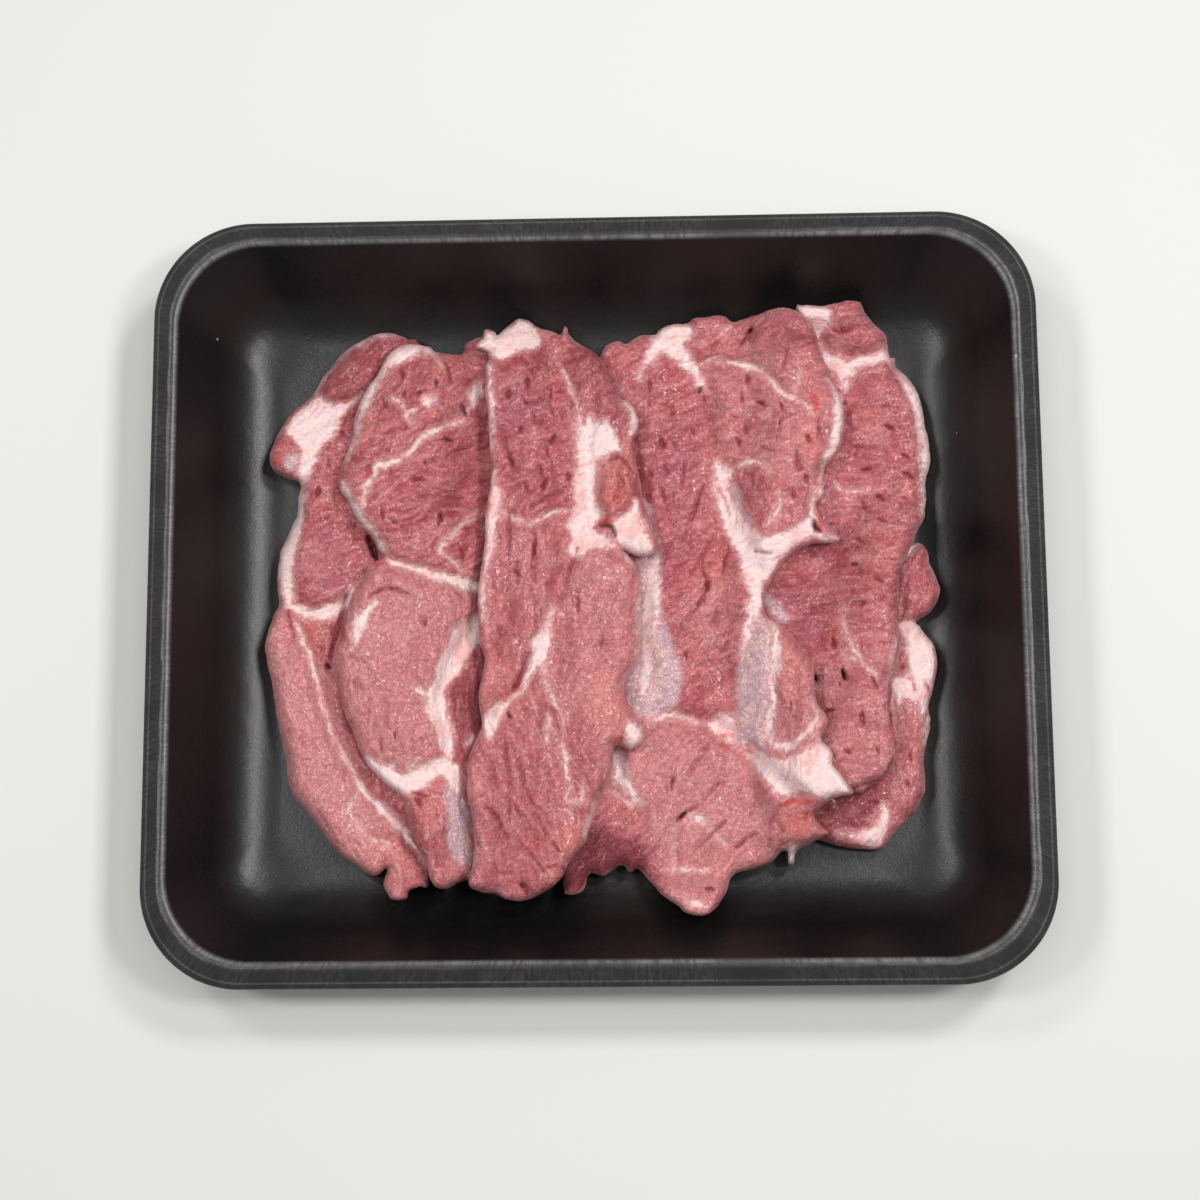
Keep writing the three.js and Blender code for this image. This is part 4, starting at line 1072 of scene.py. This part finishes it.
# Noises of the meat: scale per mm, detail, roughness and distortion.
meatNoises = {
    "fine": (1.1, 3, 0.6, 0.8), "crinkle": (0.62, 3, 0.55, 1.3), "flecks": (0.42, 2, 0.5, 0.8),
    "threads": (0.42, 3, 0.55, 0.8), "threadAreas": (0.13, 2, 0.5), "clouds": (0.06, 2, 0.5),
    "patches": (0.11, 3, 0.55), "wobble": (0.6, 4, 0.65), "swing": (0.16, 2, 0.5),
    "gloss": (0.6, 2, 0.5), "wet": (1.4, 2, 0.6),
}
# Where each effect starts, and where it is full.
meatSteps = {
    "crinkle": (0.1, 0.0), "threads": (0.03, 0.0),
    "flecks": (0.6, 0.74), "threadAreas": (0.44, 0.56), "fibre": (-0.38, 0.34), "paleFibre": (0.12, 0.42),
    "salmon": (0.0, 1.0), "mauve": (0.0, -1.0), "pale": (0.42, 0.66),
    "silver": (1.2, -1.6), "whiteSilver": (-0.6, 0.6), "rim": (1.0, 0.1), "rimPatches": (0.38, 0.56),
    "fringe": (1.6, -0.3), "fat": (0.35, -1.1), "lilacFat": (0.1, 0.9), "pinkFat": (0.5, 0.66),
    "crease": (0.6, -0.15), "creasePatches": (0.4, 0.55), "roundPit": (0.12, 0.55), "pit": (0.25, 0.75),
    "hole": (0.5, -0.5), "red": (0.8, -0.5), "wet": (0.5, 0.68),
}
# How much of the colour below it each effect covers.
meatCover = {
    "flecks": 0.5, "salmon": 0.6, "mauve": 0.6, "pale": 0.42, "paleFibre": 0.5, "thread": 0.5,
    "silver": 0.72, "rim": 0.7, "lilacFat": 0.75, "pinkFat": 0.7, "fringe": 0.6, "fat": 0.93,
    "crease": 0.8, "roundPit": 0.5, "pit": 0.6, "hole": 0.9, "red": 0.62, "darkTone": 0.9,
}
# How far each noise moves the value that it is added to.
meatSway = {
    "strand": 0.09, "bundle": 0.06, "fine": 0.4, "crinkle": 0.14, "clouds": 2.2, "paleStrand": 0.06,
    "wobble": 3.0, "silverStrand": 0.45, "silverFine": 1.6, "swing": 2.4, "rimWobble": 0.25,
    "fatWobble": 0.8, "fatStreaks": 0.4, "pinkStreaks": -0.1,
    "creaseWobble": 0.35, "pitWobble": 0.1, "holeWobble": 0.2, "redWobble": 0.4,
}
# Middles of the noises that sway about another value than 0.5.
meatMiddle = {"crinkle": 0.35, "clouds": 0.48}
# What each layer adds to the bump.
meatBump = {
    "crinkle": 0.6, "fine": 0.7, "flecks": 0.5, "strand": 0.16, "thread": 0.15, "onFat": -0.7, "fat": 0.35,
}


def groupSockets(group, inputs, outputs):
    # Gives a group its inputs and outputs: name and kind, c for colour, f for number, v for vector.
    kinds = {"c": "NodeSocketColor", "f": "NodeSocketFloat", "v": "NodeSocketVector"}
    for name, kind in inputs:
        group.interface.new_socket(name, in_out="INPUT", socket_type=kinds[kind])
    for name, kind in outputs:
        group.interface.new_socket(name, in_out="OUTPUT", socket_type=kinds[kind])


def meatGroup():
    # Muscle colour from the strands and bundles of fibre, painted darker in their valleys and lighter on
    # their ridges as shade and highlight, with a fine crinkle, 1 where a noise crosses its middle, whose
    # crests carry painted highlights. Salmon and mauve clouds drift over it. Silver skin, fat with a
    # translucent pink border, creases, slits and deep gaps darkened with painted shade, and wet red edges
    # are laid over it by their distances, which a finer noise makes ragged. The bump adds up the same
    # layers.
    group = bpy.data.node_groups.new("meatSurface", "ShaderNodeTree")
    groupSockets(group, [("Place", "v")] + [(key.capitalize(), "f") for key in meatFields],
                 [("Base Color", "c"), ("Roughness", "f"), ("Coat Weight", "f"), ("Height", "f")])
    w = Wiring(group)
    given = w.add("NodeGroupInput").outputs
    place = w.scaled(given["Place"], intoMillimetres)
    strand, bundle, tone = given["Strand"], given["Bundle"], given["Tone"]
    sway, bump = meatSway, meatBump

    def noise(key, vector=place):
        # The noise of that name.
        return w.noise(vector, *meatNoises[key])

    def eased(key, value):
        # Smooth step of a value between the two ends listed under that name.
        return w.step(value, *meatSteps[key])

    def crest(key, value):
        # 1 where a noise crosses its middle, eased to 0 on either side.
        return eased(key, w.math("ABSOLUTE", w.less(value, 0.5)))

    def swayed(key, value):
        # A noise's distance from its middle, times its sway.
        return w.times(w.less(value, meatMiddle.get(key, 0.5)), sway[key])

    def covered(key, mask, under, over):
        # The colour over laid on the colour under where the mask is 1, by its share of cover.
        return w.mix(w.times(mask, meatCover[key]), under, looks[over] if isinstance(over, str) else over)

    fine = noise("fine")
    crinkle = crest("crinkle", noise("crinkle"))
    # Small dark red flecks that the bump dents: painted shade in small dents.
    flecks = eased("flecks", noise("flecks", w.scaled(place, looks["fleckStretch"])))
    # Pale threads: partly connective tissue, partly painted wet highlight squiggles.
    threads = w.times(crest("threads", noise("threads")), eased("threadAreas", noise("threadAreas")))
    clouds, patches = noise("clouds"), noise("patches")
    fibre = w.plus(w.times(strand, sway["strand"]), w.times(bundle, sway["bundle"]))
    fibre = w.plus(fibre, swayed("fine", fine))
    fibre = w.plus(fibre, swayed("crinkle", crinkle))
    # Darker in the fibre valleys and lighter on the ridges: painted shade and painted highlight over the
    # fibre grain.
    base = w.mix(eased("fibre", fibre), looks["deepMuscle"], looks["muscle"])
    base = covered("flecks", flecks, base, "crease")
    warm = w.plus(given["Warm"], swayed("clouds", clouds))
    base = covered("salmon", eased("salmon", warm), base, "salmon")
    base = covered("mauve", eased("mauve", warm), base, "mauve")
    # Lighter crinkle crests: painted wet highlight squiggles.
    pale = w.times(crinkle, eased("pale", w.plus(patches, w.times(strand, sway["paleStrand"]))))
    base = covered("pale", pale, base, "paleMuscle")
    # Lighter where the fibre relief is high: painted highlight on the ridges.
    base = covered("paleFibre", eased("paleFibre", fibre), base, "paleMuscle")
    base = w.mix(w.math("MAXIMUM", tone, 0.0), base, looks["paleTone"])
    # A low tone darkens the muscle: partly its own darker tone, partly painted shade on pieces that lie in
    # shadow.
    base = w.mix(w.math("MAXIMUM", w.times(tone, -meatCover["darkTone"]), 0.0), base, looks["darkTone"])
    # The threads fade where the tone is low, under the painted shade there.
    threads = w.times(threads, w.plus(w.math("MINIMUM", tone, 0.0), 1.0))
    base = covered("thread", threads, base, "thread")

    wobble = swayed("wobble", noise("wobble"))
    streaks = w.plus(w.times(strand, sway["silverStrand"]), swayed("silverFine", fine))
    inSilver = eased("silver", w.plus(given["Silver"], streaks))
    silverColour = w.mix(eased("whiteSilver", streaks), looks["lilac"], looks["fat"])
    base = covered("silver", inSilver, base, silverColour)
    atRim = eased("rim", w.plus(given["Edge"], w.times(wobble, sway["rimWobble"])))
    base = covered("rim", w.times(atRim, eased("rimPatches", patches)), base, "pinkFat")

    swing = swayed("swing", noise("swing"))
    drift = w.plus(w.plus(w.times(wobble, sway["fatWobble"]), swing), w.times(streaks, sway["fatStreaks"]))
    toFat = w.plus(given["Fat"], drift)
    fringe, isFat = eased("fringe", toFat), eased("fat", toFat)
    fatColour = covered("lilacFat", eased("lilacFat", streaks), looks["fat"], "lilac")
    inPink = eased("pinkFat", w.plus(patches, w.times(streaks, sway["pinkStreaks"])))
    fatColour = covered("pinkFat", inPink, fatColour, "pinkFat")
    base = covered("fringe", fringe, base, "pinkFat")
    base = covered("fat", isFat, base, fatColour)

    # The creases are darkened: painted shade in the grooves.
    inCrease = eased("crease", w.plus(given["Crease"], w.times(wobble, sway["creaseWobble"])))
    least = looks["leastCrease"]
    inCrease = w.times(inCrease, w.math("MULTIPLY_ADD", eased("creasePatches", patches), 1 - least, least))
    # The slits are darkened to deep red: painted shade in the dents.
    toPit = w.plus(given["Pit"], w.times(wobble, sway["pitWobble"]))
    base = covered("crease", inCrease, base, "crease")
    base = covered("roundPit", eased("roundPit", toPit), base, "crease")
    base = covered("pit", eased("pit", toPit), base, "pit")
    # The deep gaps are painted near black: painted shadow.
    inHole = eased("hole", w.plus(given["Hole"], w.times(wobble, sway["holeWobble"])))
    base = covered("hole", inHole, base, "hole")
    isRed = eased("red", w.plus(given["Red"], w.times(wobble, sway["redWobble"])))
    base = covered("red", isRed, base, "blood")

    height = w.plus(w.times(crinkle, bump["crinkle"]), w.times(fine, bump["fine"]))
    height = w.less(height, w.times(flecks, bump["flecks"]))
    height = w.plus(height, w.times(strand, bump["strand"]))
    height = w.plus(height, w.times(threads, bump["thread"]))
    height = w.times(height, w.math("MULTIPLY_ADD", isFat, bump["onFat"], 1.0))
    height = w.plus(height, w.times(w.times(isFat, streaks), bump["fat"]))
    swing, roughness = looks["glossSwing"], looks["roughness"]
    rough = w.math("MULTIPLY_ADD", noise("gloss"), swing, roughness - swing / 2)
    coat = w.times(eased("wet", noise("wet")), looks["wetness"])
    w.add("NodeGroupOutput", {"Base Color": base, "Roughness": rough, "Coat Weight": coat, "Height": height})
    return group


foam = {
    "black": colour(11, 10, 11), "brown": colour(21, 16, 15), "worn": colour(38, 35, 36),
    "rubbed": colour(122, 119, 118), "speck": colour(150, 148, 146),
    "leastRoughness": 0.23, "roughSwing": 0.25, "specular": 0.44, "bumpHeight": 0.05,
    "grainCover": 0.5, "streakStretch": 0.2, "streakShare": 0.6,
    # what the grain, the cells and the rubbed streaks add to the bump
    "grainBump": 1.0, "cellBump": 1.2, "streakBump": 1.5,
    # rubbing and painted sheen on the crest and the lip, rubbing on the flange: its place and half width in
    # mm in from the lip, its strength
    "crestAt": 7.3, "crestHalf": 1.1, "crestWear": 0.7,
    "lipAt": 0.3, "lipHalf": 0.9, "lipWear": 0.5, "flangeEase": 1, "flangeWear": 0.15,
    "speckScale": 0.045, "speckEdge": (0.022, 0.012), "speckCover": 0.8,
}
# Noises of the foam: scale per mm, detail and roughness.
foamNoises = {
    "clouds": (0.02, 3, 0.5), "grain": (1.6, 3, 0.7), "cells": (0.45, 2, 0.5),
    "streaks": (1.1, 3, 0.6), "streakAreas": (0.05, 2, 0.5),
}
# Where each effect starts, and where it is full.
foamSteps = {
    "clouds": (0.35, 0.7), "grain": (0.55, 0.8), "streaks": (0.35, 0.65), "streakAreas": (0.3, 0.6),
}


def foamGroup():
    # Near black foam: soft clouds of brown, fine grain in bump and roughness, a few whitish specks. The
    # crest and the lip are painted light grey where the inset is near theirs, partly rubbing of the foam and
    # partly painted sheen, in streaks that run across the rim.
    group = bpy.data.node_groups.new("foamSurface", "ShaderNodeTree")
    groupSockets(group, [("Place", "v"), ("Inset", "f"), ("Run", "f")],
                 [("Base Color", "c"), ("Roughness", "f"), ("Height", "f")])
    w = Wiring(group)
    given = w.add("NodeGroupInput").outputs
    inset = given["Inset"]
    place = w.scaled(given["Place"], intoMillimetres)

    def noise(key, vector=place):
        # The noise of that name.
        return w.noise(vector, *foamNoises[key])

    def eased(key, value):
        # Smooth step of a value between the two ends listed under that name.
        return w.step(value, *foamSteps[key])

    def worn(away, half, strength):
        # Strength where the distance away is 0, eased to 0 at half.
        return w.times(w.step(away, half, 0.0), strength)

    grain, cells = noise("grain"), noise("cells")
    base = w.mix(eased("clouds", noise("clouds")), foam["black"], foam["brown"])
    base = w.mix(w.times(eased("grain", grain), foam["grainCover"]), base, foam["worn"])
    inward = w.times(inset, foam["streakStretch"])
    rim = w.add("ShaderNodeCombineXYZ", {0: given["Run"], 1: inward, 2: 0.0}).outputs[0]
    streakAreas = eased("streakAreas", noise("streakAreas", rim))
    streaks = w.times(eased("streaks", noise("streaks", rim)), streakAreas)
    fromCrest = w.math("ABSOLUTE", w.less(inset, foam["crestAt"]))
    fromLip = w.math("ABSOLUTE", w.less(inset, foam["lipAt"]))
    wear = w.math("MAXIMUM", worn(fromCrest, foam["crestHalf"], foam["crestWear"]),
                  worn(fromLip, foam["lipHalf"], foam["lipWear"]))
    onFlange = w.step(inset, foam["crestAt"], foam["crestAt"] - foam["flangeEase"])
    wear = w.math("MAXIMUM", wear, w.times(onFlange, foam["flangeWear"]))
    share = foam["streakShare"]
    # Light grey on the crest and the lip: partly rubbing of the foam, partly painted sheen.
    rubbed = w.times(wear, w.math("MULTIPLY_ADD", streaks, share, 1 - share))
    base = w.mix(rubbed, base, foam["rubbed"])
    dots = w.add("ShaderNodeTexVoronoi", {"Vector": place, "Scale": foam["speckScale"]}).outputs["Distance"]
    specks = w.step(dots, *foam["speckEdge"])
    base = w.mix(w.times(specks, foam["speckCover"]), base, foam["speck"])
    rough = w.math("MULTIPLY_ADD", grain, foam["roughSwing"], foam["leastRoughness"])
    height = w.plus(w.times(grain, foam["grainBump"]), w.times(cells, foam["cellBump"]))
    height = w.plus(height, w.times(w.times(streaks, wear), foam["streakBump"]))
    w.add("NodeGroupOutput", {"Base Color": base, "Roughness": rough, "Height": height})
    return group


def surfaceMaterial(name, group, fields, bumpHeight, settings):
    # A material whose shader is fed by a group: the place and the mesh's fields go into the group, and what
    # comes out goes to the shader's inputs of the same name, with the height as bump in mm.
    material = bpy.data.materials.new(name)
    material.use_nodes = True
    w = Wiring(material.node_tree)
    links = material.node_tree.links
    shader = material.node_tree.nodes["Principled BSDF"]
    surface = w.add("ShaderNodeGroup", node_tree=group)
    links.new(w.add("ShaderNodeTexCoord").outputs["Object"], surface.inputs["Place"])
    for key in fields:
        field = w.add("ShaderNodeAttribute", attribute_name=key)
        links.new(field.outputs["Fac"], surface.inputs[key.capitalize()])
    relief = {"Strength": 1.0, "Distance": bumpHeight * metre, "Height": surface.outputs["Height"]}
    links.new(w.add("ShaderNodeBump", relief).outputs["Normal"], shader.inputs["Normal"])
    for output in surface.outputs:
        if output.name != "Height":
            links.new(output, shader.inputs[output.name])
    for key, value in settings.items():
        shader.inputs[key].default_value = value
    return material


# The pack

print("tray")
trayPiece = makeTray()
foamSettings = {"Specular IOR Level": foam["specular"]}
foamLook = surfaceMaterial("blackFoam", foamGroup(), ("inset", "run"), foam["bumpHeight"], foamSettings)
trayPiece.data.materials.append(foamLook)
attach(trayPiece, "root")
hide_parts("tray")

meatSettings = {
    "Coat Roughness": looks["coatRoughness"], "IOR": looks["ior"],
    "Subsurface Weight": looks["subsurface"], "Subsurface Radius": looks["subsurfaceRadius"],
    "Subsurface Scale": looks["subsurfaceReach"] * metre,
}
meatLook = surfaceMaterial("rawPork", meatGroup(), meatFields, looks["bumpHeight"], meatSettings)
netX, netY, pile = netFields()
for number, (nodeName, cut) in enumerate(slices.items()):
    print("slice", nodeName)
    draped = drape(pile)
    outlineOnNet = outlineDistance(netX, netY, smoothPath(pairs(cut["edge"]), closed=True))
    pieceName = nodeName.replace("_", " ").title().replace(" ", "") + "Meat"
    piece = makeSlice(pieceName, cut, blurred(draped, meat["blurRounds"]),
                      meat["firstSeed"] + meat["seedStep"] * number)
    piece.data.materials.append(meatLook)
    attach(piece, "root")
    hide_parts(nodeName)
    laid = draped + meat["gap"] + thicknessAt(cut, np.minimum(outlineOnNet, 0), netX, netY)
    pile = np.where(outlineOnNet < 0, np.maximum(pile, laid), pile)
    print("points", len(piece.data.vertices), "faces", len(piece.data.polygons))

# Floor, light and camera

view = {
    "lens": 67.5, "sensor": 36, "elevation": 80.48, "azimuth": 11.44, "roll": -12.007,
    "distance": 666.7, "target": (1.832, -3.107, 32.0),
}
light = {
    "world": 0.26, "floor": colour(196, 195, 192), "floorHalf": 3000, "floorRoughness": 0.9,
    "floorDrop": 0.2,  # keeps the floor clear of the tray's base
    "lamps": [
        # name, place in mm, size in mm, watts, whether it shows in reflections
        ("farRight", (430, 350, 880), (160, 160), 4.2, True),
        ("farLeft", (-450, 350, 880), (160, 160), 2.0, True),
        ("nearRight", (430, 5, 880), (150, 110), 3.3, True),
        ("nearLeft", (-450, 5, 880), (150, 110), 2.3, True),
        ("fill", (0, -40, 1000), (500, 500), 3.8, False),
    ],
}

lampUp = (0, 1, 0.01)  # tilted a little, so that no lamp looks along it

print("stage")
half = light["floorHalf"]
floorCorners = np.array([[-half, -half, 0], [half, -half, 0], [half, half, 0], [-half, half, 0]], float)
floorMesh = makeMesh("floor", floorCorners, np.array([[0, 1, 2, 3]]))
floorMaterial = bpy.data.materials.new("paleFloor")
floorMaterial.use_nodes = True
floorShader = floorMaterial.node_tree.nodes["Principled BSDF"]
floorShader.inputs["Base Color"].default_value = light["floor"]
floorShader.inputs["Roughness"].default_value = light["floorRoughness"]
floorMesh.data.materials.append(floorMaterial)
floorMesh.location.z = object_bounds()[0][2] - light["floorDrop"] * metre

world = bpy.data.worlds.new("studio")
world.use_nodes = True
world.node_tree.nodes["Background"].inputs["Color"].default_value = (1, 1, 1, 1)
world.node_tree.nodes["Background"].inputs["Strength"].default_value = light["world"]
bpy.context.scene.world = world
for lampName, place, size, watts, reflected in light["lamps"]:
    lamp = bpy.data.lights.new(lampName, "AREA")
    lamp.shape = "RECTANGLE"
    lamp.size, lamp.size_y = size[0] * metre, size[1] * metre
    lamp.energy = watts
    holder = bpy.data.objects.new(lampName, lamp)
    holder.visible_glossy = reflected
    bpy.context.scene.collection.objects.link(holder)
    back = np.array(place, float) / np.linalg.norm(place)  # the lamp looks at the origin
    side = np.cross(lampUp, back)
    side = side / np.linalg.norm(side)
    upward = np.cross(back, side)
    rows = [[side[k], upward[k], back[k], place[k] * metre] for k in range(3)]
    holder.matrix_world = Matrix(rows + [[0, 0, 0, 1]])


def placeCamera():
    # Orbit camera: back is the direction from the target to the eye, right and up turned by the roll.
    up, around, roll = (radians(view[key]) for key in ("elevation", "azimuth", "roll"))
    back = np.array([sin(around) * cos(up), -cos(around) * cos(up), sin(up)])
    level = np.array([cos(around), sin(around), 0])
    upright = np.cross(back, level)
    right = cos(roll) * level + sin(roll) * upright
    above = -sin(roll) * level + cos(roll) * upright
    eye = (np.array(view["target"]) + back * view["distance"]) * metre
    camera = bpy.data.cameras.new("photoCamera")
    camera.lens, camera.sensor_width = view["lens"], view["sensor"]
    holder = bpy.data.objects.new("photoCamera", camera)
    bpy.context.scene.collection.objects.link(holder)
    rows = [[right[k], above[k], back[k], eye[k]] for k in range(3)]
    holder.matrix_world = Matrix(rows + [[0, 0, 0, 1]])
    bpy.context.scene.camera = holder


placeCamera()
bpy.context.scene.view_settings.view_transform = "Standard"
